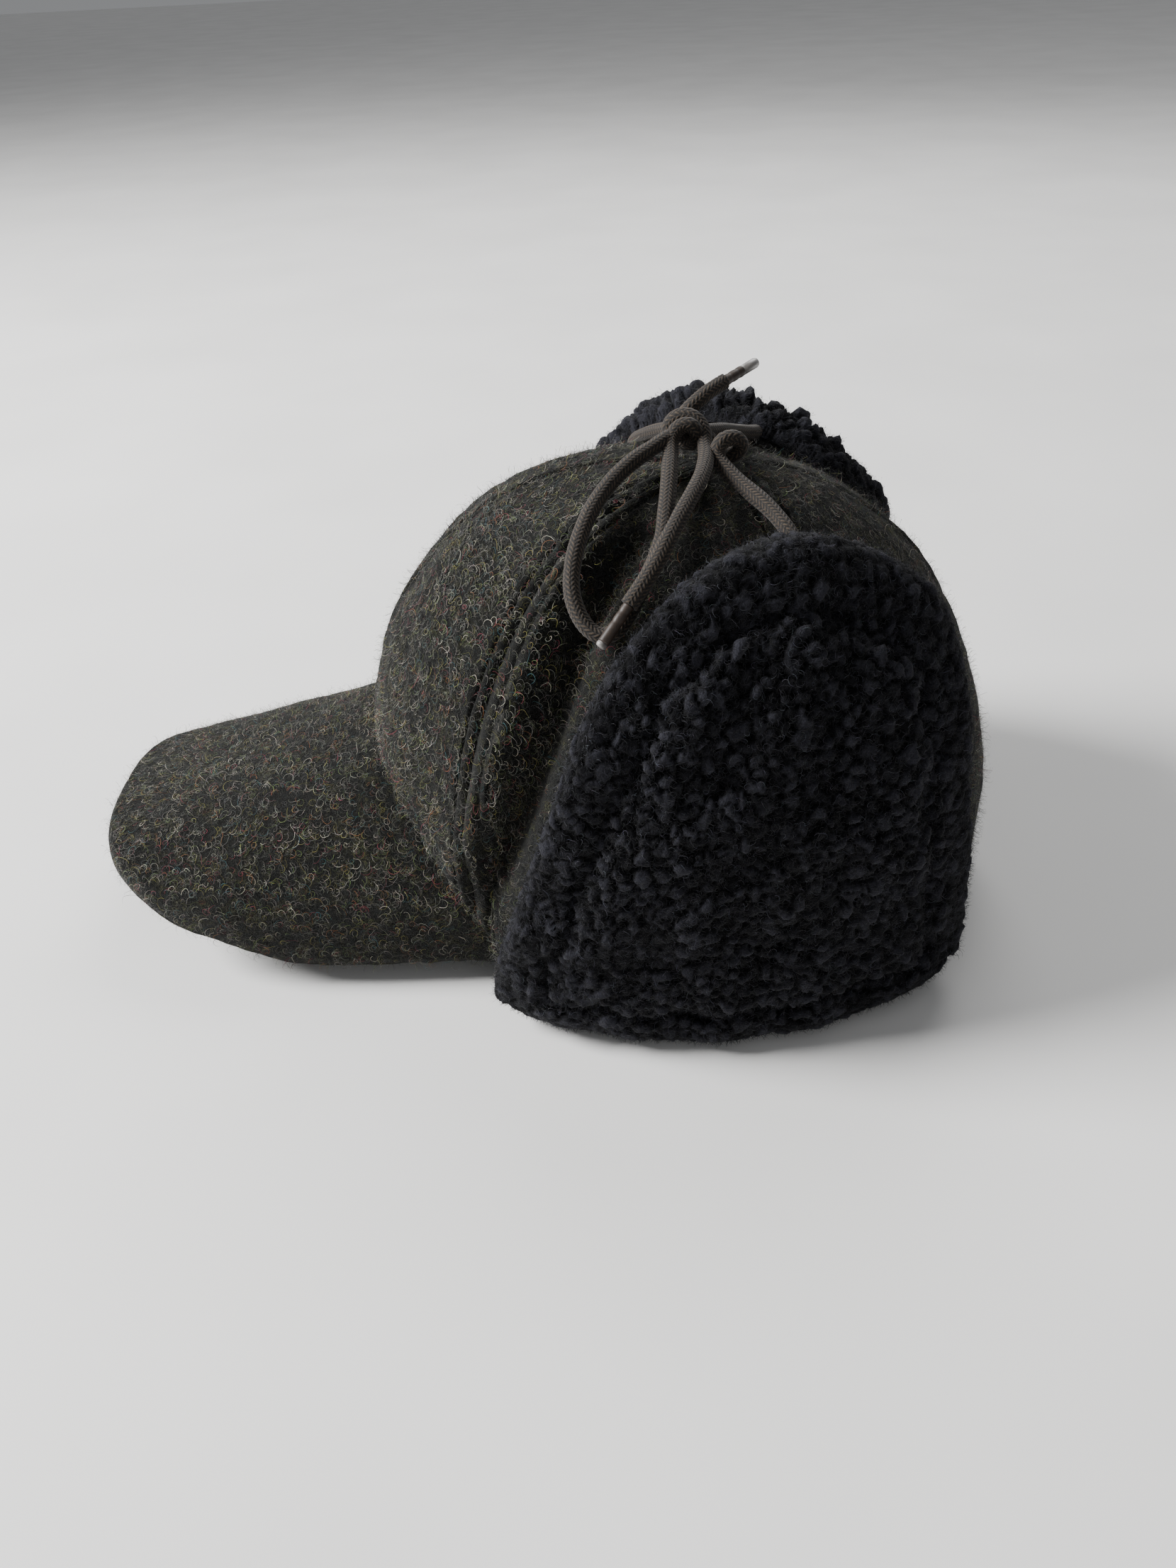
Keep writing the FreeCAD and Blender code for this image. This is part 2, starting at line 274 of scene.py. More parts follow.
def carried_frame(line):
    """A sideways and an upward unit vector at each point, carried along without twisting."""
    along = np.gradient(line, axis=0)
    along /= np.linalg.norm(along, axis=1, keepdims=True)
    side = np.cross(along[0], [0, 0, 1.0])
    sides = []
    for way in along:
        side = side - way * (side @ way)
        side = side / np.linalg.norm(side)
        sides.append(side)
    sides = np.array(sides)
    return along, sides, np.cross(along, sides)


def braid_tube(name, route, body):
    """A braided tube along a route: ten strands each way, two over and two under."""
    strands = 10
    strand_pitch = 1.3 * MM     # length of cord that one chevron takes
    around = 70
    line, places = evenly(smooth_line(name + "_line", route), 0.32 * MM)
    along, side, up = carried_frame(line)
    turn = np.arange(around) / around
    spread = turn[None, :] * strands
    travel = places[:, None] / strand_pitch
    first = spread + travel
    second = spread - travel
    over = np.mod(np.floor(first) + np.floor(second), 4) < 2
    across_first = 2 * np.mod(first, 1) - 1
    across_second = 2 * np.mod(second, 1) - 1
    across = np.where(over, across_first, across_second)
    lift = np.sqrt(np.clip(1 - across ** 2, 0, 1))
    groove = np.abs(2 * np.mod(spread, 1) - 1)    # strands dive between the columns of chevrons
    lift = lift * (0.8 + 0.2 * (1 - groove ** 4))
    radius = cord_diameter / 2 * (0.81 + 0.21 * lift)
    angle = turn[None, :, None] * 2 * math.pi
    round_it = side[:, None] * np.cos(angle) + up[:, None] * np.sin(angle)
    wander = 1 + 0.03 * waves(line, 14 * MM, 5)[:, None]
    points = line[:, None] + round_it * (radius * wander)[..., None]
    rows = len(line)
    faces = grid_faces(rows, around, closed=True, flip=True).tolist()
    faces += [list(range(around)), list(range(rows * around - 1, (rows - 1) * around - 1, -1))]
    tube = mesh_object(name, points, faces, yarn)
    # lift also feeds the yarn's colour, which paints shade in the dips and light on the crowns.
    set_attribute(tube, "lift", "FLOAT", lift)
    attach(tube, body)
    length = places[-1]
    print(name, "length %.0f mm" % (length / MM), "faces", len(faces))
    return tube, line, length


# %% [markdown]
# ## The bow
# Each cord leaves its flap's tip, lies over the crown to the middle, and is tied with the other in a
# shoelace bow. The left cord turns once over itself, makes its loop, comes back, wraps twice over the
# loops' roots and ends in its tail. The right cord comes through under those wraps, makes a smaller loop
# and ends standing up. Both routes are lists of points in millimetres; the ones in the knot
# replace the CAD's lumps.

# %% Cord routes
left_route = [(48, 29, 132), (43, 26, 137), (33, 21.5, 140.3), (24.5, 16, 142.6), (17.5, 11.5, 145),
              (13, 9, 147.2), (11.5, 10.5, 151.2), (10.2, 14.6, 151.6), (9.4, 17, 148.4), (9.2, 13.8, 145.6),
              (6.2, 11, 146), (2, 8, 148.5), (1.5, 3.5, 150.6), (6, -1.5, 151.6), (10.5, -6.5, 150.6),
              (19, -16.5, 147.5), (30, -24.5, 142.5),
              (41, -29.5, 136), (50, -31.5, 128.5), (55.5, -29.5, 122.3), (58.8, -25.2, 118.4),
              (58.9, -20.4, 118.9), (55.9, -16.5, 123.2), (51.2, -12.5, 128.8), (44, -7.5, 135.4),
              (33, -5.5, 141.8), (21, -4, 146.5), (12.5, -3.2, 148.2), (8.2, -3, 150.6), (6.6, -0.8, 153.8),
              (6.8, 2.6, 154.4), (6.6, 4.8, 151.4), (4.6, 3.6, 148.4), (1.6, -0.2, 148), (0.8, -3.4, 151),
              (1.4, -1.2, 154.8), (2.4, 3.2, 155.4), (4.4, 6.4, 152.4), (8.6, 6.4, 148.8),
              (15, 6.4, 147.6), (26.5, 4, 146.5), (37.5, -1, 143.6), (47, -5.8, 139.4),
              (54.5, -10.6, 133.6), (59.4, -16.6, 127.2)]
right_route = [(-47.5, 31.3, 131.6), (-43.5, 29.5, 134.4), (-34, 25.5, 136.8), (-24.5, 19.5, 140.6),
               (-16, 14.5, 144.2), (-8, 9.5, 147), (-2.5, 6, 149), (0.5, 1.8, 150.6), (-4, -2.2, 149.6),
               (-11.5, -5, 146.6), (-20.5, -9, 142.2), (-31, -11.5, 137.2), (-40, -11.5, 131.8),
               (-45.5, -8.5, 128), (-46.6, -3, 127.8), (-42.5, 1.2, 131.4), (-34.5, 3.2, 136.4),
               (-25.5, 3.6, 141.2), (-16, 3, 146), (-9, 1.8, 149.6), (-3.6, 0.6, 152), (-2, 2.2, 155),
               (-3.6, 5.6, 157.6), (-6, 9.4, 159.6), (-9.6, 13.2, 160.4)]

left_cord, left_line, left_length = braid_tube("left_cord", left_route, "left_cord")
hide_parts("left_cord_standing", "left_knot", "left_cord_loop", "left_cord_tail")
right_cord, right_line, right_length = braid_tube("right_cord", right_route, "right_cord")
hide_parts("right_cord_standing", "right_knot", "right_cord_loop", "right_cord_tail")

for side, sign in (("left", 1), ("right", -1)):
    root = [(sign * 42.6, 26, 129.5), (sign * 43.2, 26.1, 132), (sign * 43.6, 26, 134.5)]
    stub, _, _ = braid_tube(side + "_sewn_end", root, side + "_flap")
    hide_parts(side + "_cord_tack")

# %% [markdown]
# ## Aglets
# A cord's end is bound in a short film of clear plastic, rolled tight and crimped, so that the yarn in it
# looks dark. Past the yarn the film is empty and clear: for a short lip on the left, and longer on the right.

# %% Aglet plastics
def moulded_acetate(name, colour, clear):
    """Acetate film rolled round the yarn: smooth and glossy, with a faint haze from handling."""
    material, tree, shader = new_material(name)
    place = add(tree, "ShaderNodeTexCoord").outputs["Object"]
    haze = add(tree, "ShaderNodeTexNoise", {"Vector": place, "Scale": per_metre(2), "Detail": 3.0})
    shade = ramp(tree, haze.outputs["Fac"], [(0.3, colour), (0.7, "#7d7975" if clear else "#33271e")])
    rough = add(tree, "ShaderNodeMapRange", {"Value": haze.outputs["Fac"], "To Min": 0.42, "To Max": 0.62})
    tree.links.new(shade, shader.inputs["Base Color"])
    tree.links.new(rough.outputs["Result"], shader.inputs["Roughness"])
    shader.inputs["IOR"].default_value = 1.48
    shader.inputs["Transmission Weight"].default_value = 0.3 if clear else 0.0
    return material


brown_acetate = moulded_acetate("rolled_brown_acetate", "#241b15", False)
clear_acetate = moulded_acetate("rolled_clear_acetate", "#5f5b58", True)


# %% Aglet shapes
def turned(name, start, way, profile, material, body):
    """A closed turned solid: profile is (distance along, radius) in metres, from end to end."""
    around = 32
    way = Vector(way).normalized()
    side = way.orthogonal().normalized()
    up = way.cross(side)
    angles = np.arange(around) / around * 2 * math.pi
    ring = np.array(side)[None] * np.cos(angles)[:, None] + np.array(up)[None] * np.sin(angles)[:, None]
    points = [np.array(start) + np.array(way) * along + ring * radius for along, radius in profile]
    faces = grid_faces(len(profile), around, closed=True, flip=True).tolist()
    last = (len(profile) - 1) * around
    faces += [list(range(around)), list(range(last + around - 1, last - 1, -1))]
    solid = mesh_object(name, np.array(points), faces, material)
    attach(solid, body)
    return solid


def aglet(side, line, sleeve_length, clear_length):
    """The bound yarn on a cord's end, and the clear film past it, carrying on the way the cord runs."""
    end = line[-1]
    way = line[-1] - line[-4]
    half = 1.5 * MM
    profile = [(0, half * 0.75), (0.1 * MM, half * 1.06)]
    for step in range(1, 25):
        along = sleeve_length * step / 25
        crimp = max(math.exp(-((along - place * MM) / (0.5 * MM)) ** 2) for place in (2.5, 5.5))
        profile.append((along, half * (1.02 - 0.09 * crimp)))
    profile += [(sleeve_length, half * 0.98), (sleeve_length, half * 0.7)]
    sleeve = turned(side + "_aglet_sleeve", end, way, profile, brown_acetate, side + "_cord")
    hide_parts(side + "_aglet")
    lip_profile = [(0, half * 0.6), (0.02 * MM, half * 0.96), (clear_length - 0.7 * MM, half * 0.98),
                   (clear_length - 0.2 * MM, half * 0.86), (clear_length, half * 0.55)]
    start = end + np.array(Vector(way).normalized()) * (sleeve_length + 0.02 * MM)
    lip = turned(side + "_aglet_lip", start, way, lip_profile, clear_acetate, side + "_cord")
    return sleeve, lip


left_aglet = aglet("left", left_line, 11.4 * MM, 1.4 * MM)
right_aglet = aglet("right", right_line, 7.5 * MM, 6.5 * MM)

# %% [markdown]
# ## Felted melange wool
# The cloth is a thick felted wool, spun from dyed fleece of many colours. From a distance it is a dark moss
# green. Close up, fine pale fibres curl over a nearly black ground, with flecks of yellow, rust, red and
# teal. The ground and its curls are noise, and loose fibres on top are real geometry, so that the edges
# look hairy.

# %% Wool material
def melange_wool():
    """Felted melange wool: no gloss, a soft sheen from the nap, curls paler than the ground."""
    material, tree, shader = new_material("felted_melange_wool")
    place = add(tree, "ShaderNodeTexCoord").outputs["Object"]
    bend = add(tree, "ShaderNodeTexNoise", {"Vector": place, "Scale": per_metre(2.2), "Detail": 2.0})
    offset = add(tree, "ShaderNodeVectorMath", {0: bend.outputs["Color"], 1: (0.0022, 0.0022, 0.0022)},
                 operation="MULTIPLY")
    bent = add(tree, "ShaderNodeVectorMath", {0: place, 1: offset.outputs["Vector"]}, operation="ADD")
    curls = []
    for size, octaves in ((0.9, 1.0), (0.5, 1.0)):
        wool = add(tree, "ShaderNodeTexNoise", {"Vector": bent.outputs["Vector"], "Scale": per_metre(size),
                                                "Detail": octaves, "Distortion": 0.6})
        centred = add(tree, "ShaderNodeMath", {0: wool.outputs["Fac"], 1: 0.5}, operation="SUBTRACT")
        size_of = add(tree, "ShaderNodeMath", {0: centred.outputs[0]}, operation="ABSOLUTE")
        curls.append(add(tree, "ShaderNodeMapRange", {"Value": size_of.outputs[0], "From Max": 0.05,
                                                      "To Min": 1.0, "To Max": 0.0}).outputs["Result"])
    fibre = add(tree, "ShaderNodeMath", {0: curls[0], 1: curls[1]}, operation="MAXIMUM").outputs[0]
    cloud = add(tree, "ShaderNodeTexNoise", {"Vector": place, "Scale": per_metre(26), "Detail": 3.0})
    ground = ramp(tree, cloud.outputs["Fac"], [(0.3, "#060605"), (0.5, "#0a0a09"), (0.7, "#10100e")])
    fleck = add(tree, "ShaderNodeTexNoise", {"Vector": bent.outputs["Vector"], "Scale": per_metre(5.5),
                                             "Detail": 2.0, "Roughness": 0.7})
    dyed = ramp(tree, fleck.outputs["Fac"], [
        (0.26, "#371a1d"), (0.33, "#191a17"), (0.42, "#2a2a25"), (0.47, "#1d2222"), (0.53, "#2f2e28"),
        (0.60, "#3c3c2a"), (0.66, "#494a33"), (0.72, "#402c20")])
    mixed = add(tree, "ShaderNodeMix", {"Factor": fibre, 6: ground, 7: dyed}, data_type="RGBA")
    grain = add(tree, "ShaderNodeMath", {0: fibre, 1: bend.outputs["Fac"]}, operation="ADD")
    bump = add(tree, "ShaderNodeBump", {"Height": grain.outputs[0], "Strength": 0.8, "Distance": 0.35 * MM})
    tree.links.new(mixed.outputs[2], shader.inputs["Base Color"])
    tree.links.new(bump.outputs["Normal"], shader.inputs["Normal"])
    shader.inputs["Roughness"].default_value = 0.95
    shader.inputs["Specular IOR Level"].default_value = 0.15
    shader.inputs["Sheen Weight"].default_value = 0.06
    shader.inputs["Sheen Roughness"].default_value = 0.4
    return material


def loose_fibre(name, sheen):
    """Single fibres: each has the colour of the fleece it came from, stored on its points."""
    material, tree, shader = new_material(name)
    place = add(tree, "ShaderNodeTexCoord").outputs["Object"]
    tint = add(tree, "ShaderNodeAttribute", attribute_name="tint").outputs["Color"]
    uneven = add(tree, "ShaderNodeTexNoise", {"Vector": place, "Scale": per_metre(1.5)})
    shade = add(tree, "ShaderNodeMix", {"Factor": 0.4, 6: tint, 7: uneven.outputs["Color"]},
                data_type="RGBA", blend_type="SOFT_LIGHT")
    tree.links.new(shade.outputs[2], shader.inputs["Base Color"])
    shader.inputs["Roughness"].default_value = 0.8
    shader.inputs["Specular IOR Level"].default_value = 0.3
    shader.inputs["Sheen Weight"].default_value = sheen
    return material


wool = melange_wool()
wool_fibre = loose_fibre("loose_wool_fibre", 0.1)
print("materials", wool.name, wool_fibre.name)

# %% [markdown]
# ## The crown's form
# The crown is a squared-off dome. Its panels meet at a pole a little behind the middle, so a point of it is
# found by looking out from the pole's foot: round by an angle from the front, and up by a lift from the rim.
# The values are the CAD's own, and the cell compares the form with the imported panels.

# %% Crown form
half_length = 99 * MM
half_width = 78 * MM
crown_height = 142.5 * MM
crown_lean = -5 * MM
crown_swell = 0.03
dome_power = 2.5
pole = np.array([0, 12 * MM, 0])
wool_thickness = 3 * MM
lining_inset = 3.3 * MM
lining_thickness = 1.2 * MM
band_inset = 4.8 * MM
band_thickness = 1.8 * MM
band_height = 32 * MM


def dome_radius(z, inset=0.0):
    """Half width of the dome at height z."""
    height = crown_height - inset
    share = np.clip(z / height, 0, 1)
    dome = (1 - share ** dome_power) ** (1 / dome_power)
    return (half_width - inset) * dome * (1 + crown_swell * np.sin(math.pi * np.clip(z, 0, None) / height))


def dome_point(angle, lift, inset=0.0):
    """The dome's surface at an angle round from the front and a lift up from the rim, in radians."""
    angle, lift = np.broadcast_arrays(angle, lift)
    flat = np.cos(lift)
    way = np.stack([np.sin(angle) * flat, -np.cos(angle) * flat, np.sin(lift)], -1)
    stretch = (half_length - inset) / (half_width - inset)
    near = np.zeros(angle.shape)
    far = np.full(angle.shape, 250 * MM)
    for _ in range(30):
        middle = (near + far) / 2
        at = pole + way * middle[..., None]
        from_middle = (at[..., 1] - crown_lean * at[..., 2] / crown_height) / stretch
        inside = np.hypot(at[..., 0], from_middle) < dome_radius(at[..., 2], inset)
        near = np.where(inside, middle, near)
        far = np.where(inside, far, middle)
    return pole + way * near[..., None]


_, high_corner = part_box("crown_side_left")
widest = dome_point(np.radians(90), np.radians(np.arange(0, 90)))[:, 0].max()
print("widest crown half width: form %.1f mm, CAD %.1f mm" % (widest / MM, high_corner.x / MM))

# %% [markdown]
# ## The visor's arch
# The visor is bent across the forehead: high in the middle, down to the table at its ends. Its top surface
# is one formula, and every layer of the visor, and the crown's front edge, is worked out from it.

# %% Visor arch
visor_reach = 90 * MM
visor_half_width = 61 * MM
visor_shoulder_y = -85 * MM
visor_end_y = -58.3 * MM
visor_power = 2.9
arch_half_width = 66 * MM
arch_power = 2.8
arch_foot = 7.5 * MM
arch_rise_root = 55 * MM
arch_rise_tip = 29.5 * MM
visor_skin = 2.2 * MM
visor_under_drop = 4.6 * MM
visor_thickness = 6.8 * MM


def arch(x, y, drop=0.0):
    """The point over (x, y) on the layer of the arch that lies drop below its top, measured square to it."""
    rise = arch_rise_root + (arch_rise_tip - arch_rise_root) * (-half_length - y) / visor_reach
    share = np.clip(np.abs(x) / arch_half_width, 0, 1)
    slope = rise * arch_power / arch_half_width * share ** (arch_power - 1)
    z = arch_foot + rise * (1 - share ** arch_power) - drop * np.hypot(1, slope)
    return np.stack([x, y, z], -1)


def edge_lift(angle, inset, drop):
    """The lift at which the dome meets the arch's layer, or 0 behind the visor's ends."""
    low = np.zeros(angle.shape)
    high = np.full(angle.shape, math.radians(60))
    for _ in range(24):
        middle = (low + high) / 2
        at = dome_point(angle, middle, inset)
        under = at[..., 2] < arch(at[..., 0], at[..., 1], drop)[..., 2]
        low = np.where(under, middle, low)
        high = np.where(under, high, middle)
    rim = dome_point(angle, np.zeros(angle.shape), inset)
    return np.where(rim[..., 1] < visor_end_y, low, 0.0)


# %% [markdown]
# ## Crown panels
# Six panels of wool, each sewn to the next with its edges turned in, so that the cloth dips to the seam and
# swells beside it. The front and back seams are topstitched 4.5 mm each side, which pulls a furrow into the
# felt. The grid's columns lie at set distances from each seam, so that the furrows stay true up to the pole.

# %% Panel maker
seam_columns = np.array([0, 0.5, 1.1, 1.8, 2.6, 3.3, 3.8, 4.2, 4.5, 4.8, 5.2, 5.7, 6.5, 7.6, 9]) * MM


def seam_dip(distance, stitched):
    """How far the wool lies below the dome at a distance from a seam."""
    dip = -1.2 * MM * np.exp(-(distance / (1.1 * MM)) ** 2)
    dip = dip + 0.3 * MM * np.exp(-((distance - 2.6 * MM) / (1.3 * MM)) ** 2)
    if stitched:
        dip = dip - 1.0 * MM * np.exp(-((distance - 4.5 * MM) / (0.65 * MM)) ** 2)
    return dip


def side_fold(points):
    """The long soft hollow that the raised flap's pull makes in front of it, on both sides."""
    y, z = points[..., 1] / MM, points[..., 2] / MM
    line = np.interp(z, [20, 47, 60, 82, 102, 116, 130, 135], [-62, -57, -52.5, -44, -36.5, -30, -19.5, -12])
    side = np.clip((np.abs(points[..., 0]) / MM - 22) / 12, 0, 1)
    fade = np.clip((z - 25) / 30, 0, 1) * np.clip((138 - z) / 14, 0, 1) * side
    beside = y - line
    hollow = -11.0 * MM * np.exp(-(beside / 4.8) ** 2) + 3.2 * MM * np.exp(-((beside + 9.5) / 4.5) ** 2)
    hollow = hollow + 1.4 * MM * np.exp(-((beside - 11) / 6) ** 2)
    return hollow * fade


def panel(name, start, end, first_stitched, last_stitched):
    """One wool panel as a closed piece; returned with its outer grid and how full its nap is there."""
    rows = 118
    middle_columns = 34
    lift_share = np.linspace(0, 1, rows)[:, None]
    around = np.radians(end - start)
    flat_angle = np.radians(start) + around * np.linspace(0, 1, 9)[None, :]
    rough_lift = lift_share * np.full((1, 9), math.pi / 2)
    rough = dome_point(flat_angle, rough_lift)
    width = np.linalg.norm(np.diff(rough, axis=1), axis=-1).sum(1)[:, None]
    width = np.maximum(width, 0.5 * MM)
    scale = np.minimum(1, width / (26 * MM))
    left = seam_columns[None, :] * scale
    right = width - left[:, ::-1]
    inner_share = np.linspace(0, 1, middle_columns + 2)[None, 1:-1]
    middle = left[:, -1:] + (right[:, :1] - left[:, -1:]) * inner_share
    distance = np.concatenate([left, middle, right], 1)
    angle = np.radians(start) + around * distance / width
    lowest = edge_lift(angle[0], 0.0, -0.3 * MM)
    lift = lowest[None, :] + (math.pi / 2 - lowest[None, :]) * lift_share
    lift = np.minimum(lift, math.pi / 2 - 1e-4)
    base = dome_point(angle, lift)
    normal = grid_normals(base)
    outward = np.sign((normal * (base - pole)).sum(-1, keepdims=True))
    normal = normal * np.where(outward == 0, 1, outward)
    normal[-4:] = normal[-5:-4].mean(1, keepdims=True)
    fade = np.clip((width - 3 * MM) / (14 * MM), 0, 1)
    shaped = (seam_dip(distance, first_stitched) + seam_dip(width - distance, last_stitched)) * fade
    shaped = shaped + side_fold(base)
    shaped = shaped + 0.5 * MM * waves(base, 34 * MM, 11) + 0.16 * MM * waves(base, 7 * MM, 12)
    shaped = shaped + 0.07 * MM * waves(base, 2.6 * MM, 13)
    from_edge = (lift - lowest[None, :]) * 100 * MM
    shaped = shaped - 1.3 * MM * np.exp(-(from_edge / (1.5 * MM)) ** 2)
    outer = base + normal * shaped[..., None]
    inner = base + normal * (side_fold(base)[..., None] - wool_thickness + 0.2 * MM)
    rows_count, columns = distance.shape
    count = rows_count * columns
    faces = [grid_faces(rows_count, columns), grid_faces(rows_count, columns, start=count, flip=True)]
    border = np.concatenate([np.arange(columns), np.arange(1, rows_count) * columns + columns - 1,
                             (rows_count - 1) * columns + np.arange(columns - 2, -1, -1),
                             np.arange(rows_count - 2, 0, -1) * columns])
    following = np.roll(border, -1)
    faces.append(np.stack([following, border, border + count, following + count], 1))
    made = mesh_object(name, np.concatenate([outer.reshape(-1, 3), inner.reshape(-1, 3)]),
                       np.concatenate(faces), wool)
    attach(made, "crown")
    print(name, "faces", len(made.data.polygons))
    thin = (np.abs(distance - 4.5 * MM) < 0.9 * MM) | (np.abs(width - distance - 4.5 * MM) < 0.9 * MM)
    thin = thin | (distance < 0.9 * MM) | (width - distance < 0.9 * MM)
    return made, outer, normal, np.where(thin, 0.2, 1.0)


front_seam = 37.5
back_seam = 114.0
gap_angle = 0.06
panel_plan = {
    "front_left": (0, front_seam, False, True), "side_left": (front_seam, back_seam, True, True),
    "back_left": (back_seam, 180, True, False), "back_right": (-180, -back_seam, False, True),
    "side_right": (-back_seam, -front_seam, True, True), "front_right": (-front_seam, 0, True, False)}
panels = {}
for key, (start, end, first, last) in panel_plan.items():
    panels[key] = panel(key + "_wool", start + gap_angle, end - gap_angle, first, last)
    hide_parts("crown_" + key)

# %% [markdown]
# ## Loose fibres
# Felt is hairy: fibres lie over its surface in small curls and stand out at its edge. Each is a narrow ribbon
# that starts in the cloth, curls in its plane and rises a little. They are drawn a few times as wide as
# real ones, because finer ones would be lost in the picture.

# %% Fibre maker
fleece = ["#4a4945", "#5c5b54", "#73716a", "#918d80", "#b8b2a2", "#7c7740", "#5f6e3e", "#7d4f2c", "#7a2f3c",
          "#31565a", "#141512", "#2b2c27"]
fleece_share = [0.15, 0.14, 0.11, 0.08, 0.03, 0.06, 0.05, 0.03, 0.03, 0.03, 0.16, 0.13]


def ribbons(name, roots, normals, lengths, widths, tints, material, seed, rise, curl, steps, lean=None):
    """Curled ribbons: rise is the height over the surface that they reach, curl their radius of bend."""
    chance = np.random.default_rng(seed)
    count = len(roots)
    helper = np.where(np.abs(normals[:, 2:]) < 0.9, [[0, 0, 1.0]], [[1.0, 0, 0]])
    east = np.cross(normals, helper)
    east /= np.linalg.norm(east, axis=1, keepdims=True)
    north = np.cross(normals, east)
    heading = chance.uniform(0, 2 * math.pi, count)
    bend = lengths / (curl * chance.uniform(0.6, 2.2, count)) * chance.choice([-1, 1], count)
    reach = rise * chance.uniform(0.3, 1.2, count)
    place = roots.copy()
    centres = [place]
    ways = []
    for step in range(steps):
        way = east * np.cos(heading)[:, None] + north * np.sin(heading)[:, None]
        ways.append(way)
        place = place + way * (lengths / steps)[:, None]
        height = reach * math.sin(math.pi * 0.62 * (step + 1) / steps)
        lifted = place + normals * height[:, None]
        if lean is not None:
            lifted = lifted + lean * ((step + 1) / steps) ** 2
        centres.append(lifted)
        heading = heading + bend / steps + chance.normal(0, 0.25, count)
    ways.append(ways[-1])
    points = []
    for step, (centre, way) in enumerate(zip(centres, ways)):
        sideways = np.cross(way, normals) * (widths / 2 * (1 - 0.75 * (step / steps) ** 2))[:, None]
        points += [centre - sideways, centre + sideways]
    points = np.stack(points, 1)
    points[..., 2] = np.maximum(points[..., 2], 0.05 * MM)
    per_ribbon = 2 * (steps + 1)
    pattern = np.array([[2 * s, 2 * s + 1, 2 * s + 3, 2 * s + 2] for s in range(steps)])
    faces = (pattern[None] + (np.arange(count) * per_ribbon)[:, None, None]).reshape(-1, 4)
    made = mesh_object(name, points, faces, material)
    set_attribute(made, "tint", "FLOAT_COLOR", np.repeat(tints, per_ribbon, 0))
    return made


def scatter(points, normals, count, chance, share=1.0):
    """Random places on a grid of points, with their normals; share thins them out where it is below 1."""
    rows, columns = points.shape[:2]
    a, b, c = points[:-1, :-1], points[:-1, 1:], points[1:, :-1]
    area = np.linalg.norm(np.cross(b - a, c - a), axis=-1)
    area = area * np.broadcast_to(share, (rows, columns))[:-1, :-1]
    picked = chance.choice(area.size, count, p=area.ravel() / area.sum())
    row, column = np.divmod(picked, columns - 1)
    u, v = chance.uniform(0, 1, (2, count, 1))
    place = (points[row, column] * (1 - u) * (1 - v) + points[row, column + 1] * u * (1 - v)
             + points[row + 1, column] * (1 - u) * v + points[row + 1, column + 1] * u * v)
    return place, normals[row, column]


fibre_steps = 8


def wool_hair(name, points, normals, count, body, seed, share=1.0):
    """Loose fleece fibres over a patch of wool."""
    chance = np.random.default_rng(seed)
    roots, out = scatter(points, normals, count, chance, share)
    tints = np.array([linear(colour) for colour in fleece])[chance.choice(len(fleece), count, p=fleece_share)]
    tints[:, :3] *= chance.uniform(0.35, 1.05, (count, 1))
    rise = np.where(chance.uniform(size=count) < 0.2, 2.8, 0.8) * MM
    made = ribbons(name, roots - out * 0.1 * MM, out, chance.uniform(2.2, 7.5, count) * MM,
                   chance.uniform(0.055, 0.12, count) * MM, tints, wool_fibre, seed, rise, 0.95 * MM,
                   fibre_steps)
    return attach(made, body)


hair_per_square_metre = 0.75e6
most_fibres = 12000    # in one piece at most; in one piece, so that its exported mesh is not thinned out
under_cloth_fibres = 4500
flap_fibres = 3000
for number, (key, (made, outer, normal, share)) in enumerate(panels.items()):
    cells = np.cross(outer[:-1, 1:] - outer[:-1, :-1], outer[1:, :-1] - outer[:-1, :-1])
    area = np.linalg.norm(cells, axis=-1).sum()
    count = min(int(area * hair_per_square_metre), most_fibres)
    hair = wool_hair(key + "_nap", outer, normal, count, "crown", 100 + number, share)
    print(hair.name, "fibres", len(hair.data.polygons) // fibre_steps)

# %% [markdown]
# ## The visor
# A stiff board lies between two wool cloths, which are turned over its edge and sewn together there. Seen
# from above, the visor is a fan of rays from the middle of its root: each ray runs from under the crown's
# edge out to the outline, so one grid gives both cloths, rounded where they turn over the edge.

# %% Visor cloths
def outline_reach(angle):
    """Distance along a ray from (0, visor_end_y) to the visor's outline, angle measured from the front."""
    way_x, way_y = np.sin(angle), -np.cos(angle)
    near = np.zeros(angle.shape)
    far = np.full(angle.shape, 200 * MM)
    length = half_length + visor_reach + visor_shoulder_y
    for _ in range(30):
        middle = (near + far) / 2
        x = np.abs(way_x * middle) / visor_half_width
        y = np.clip(visor_shoulder_y - (visor_end_y + way_y * middle), 0, None) / length
        inside = x ** visor_power + y ** visor_power < 1
        near = np.where(inside, middle, near)
        far = np.where(inside, far, middle)
    return near


def crown_reach(angle):
    """Distance along the same ray to the crown's wall where it meets the arch."""
    way_x, way_y = np.sin(angle), -np.cos(angle)
    near = np.zeros(angle.shape)
    far = np.full(angle.shape, 120 * MM)
    stretch = half_length / half_width
    for _ in range(30):
        middle = (near + far) / 2
        x = way_x * middle
        y = visor_end_y + way_y * middle
        z = arch(x, y)[..., 2]
        radius = dome_radius(z, 2.6 * MM)
        inside = np.hypot(x, (y - crown_lean * z / crown_height) / stretch) < radius
        near = np.where(inside, middle, near)
        far = np.where(inside, far, middle)
    return near


edge_seam = 0.72    # share of the thickness, from the top, at which the two cloths meet


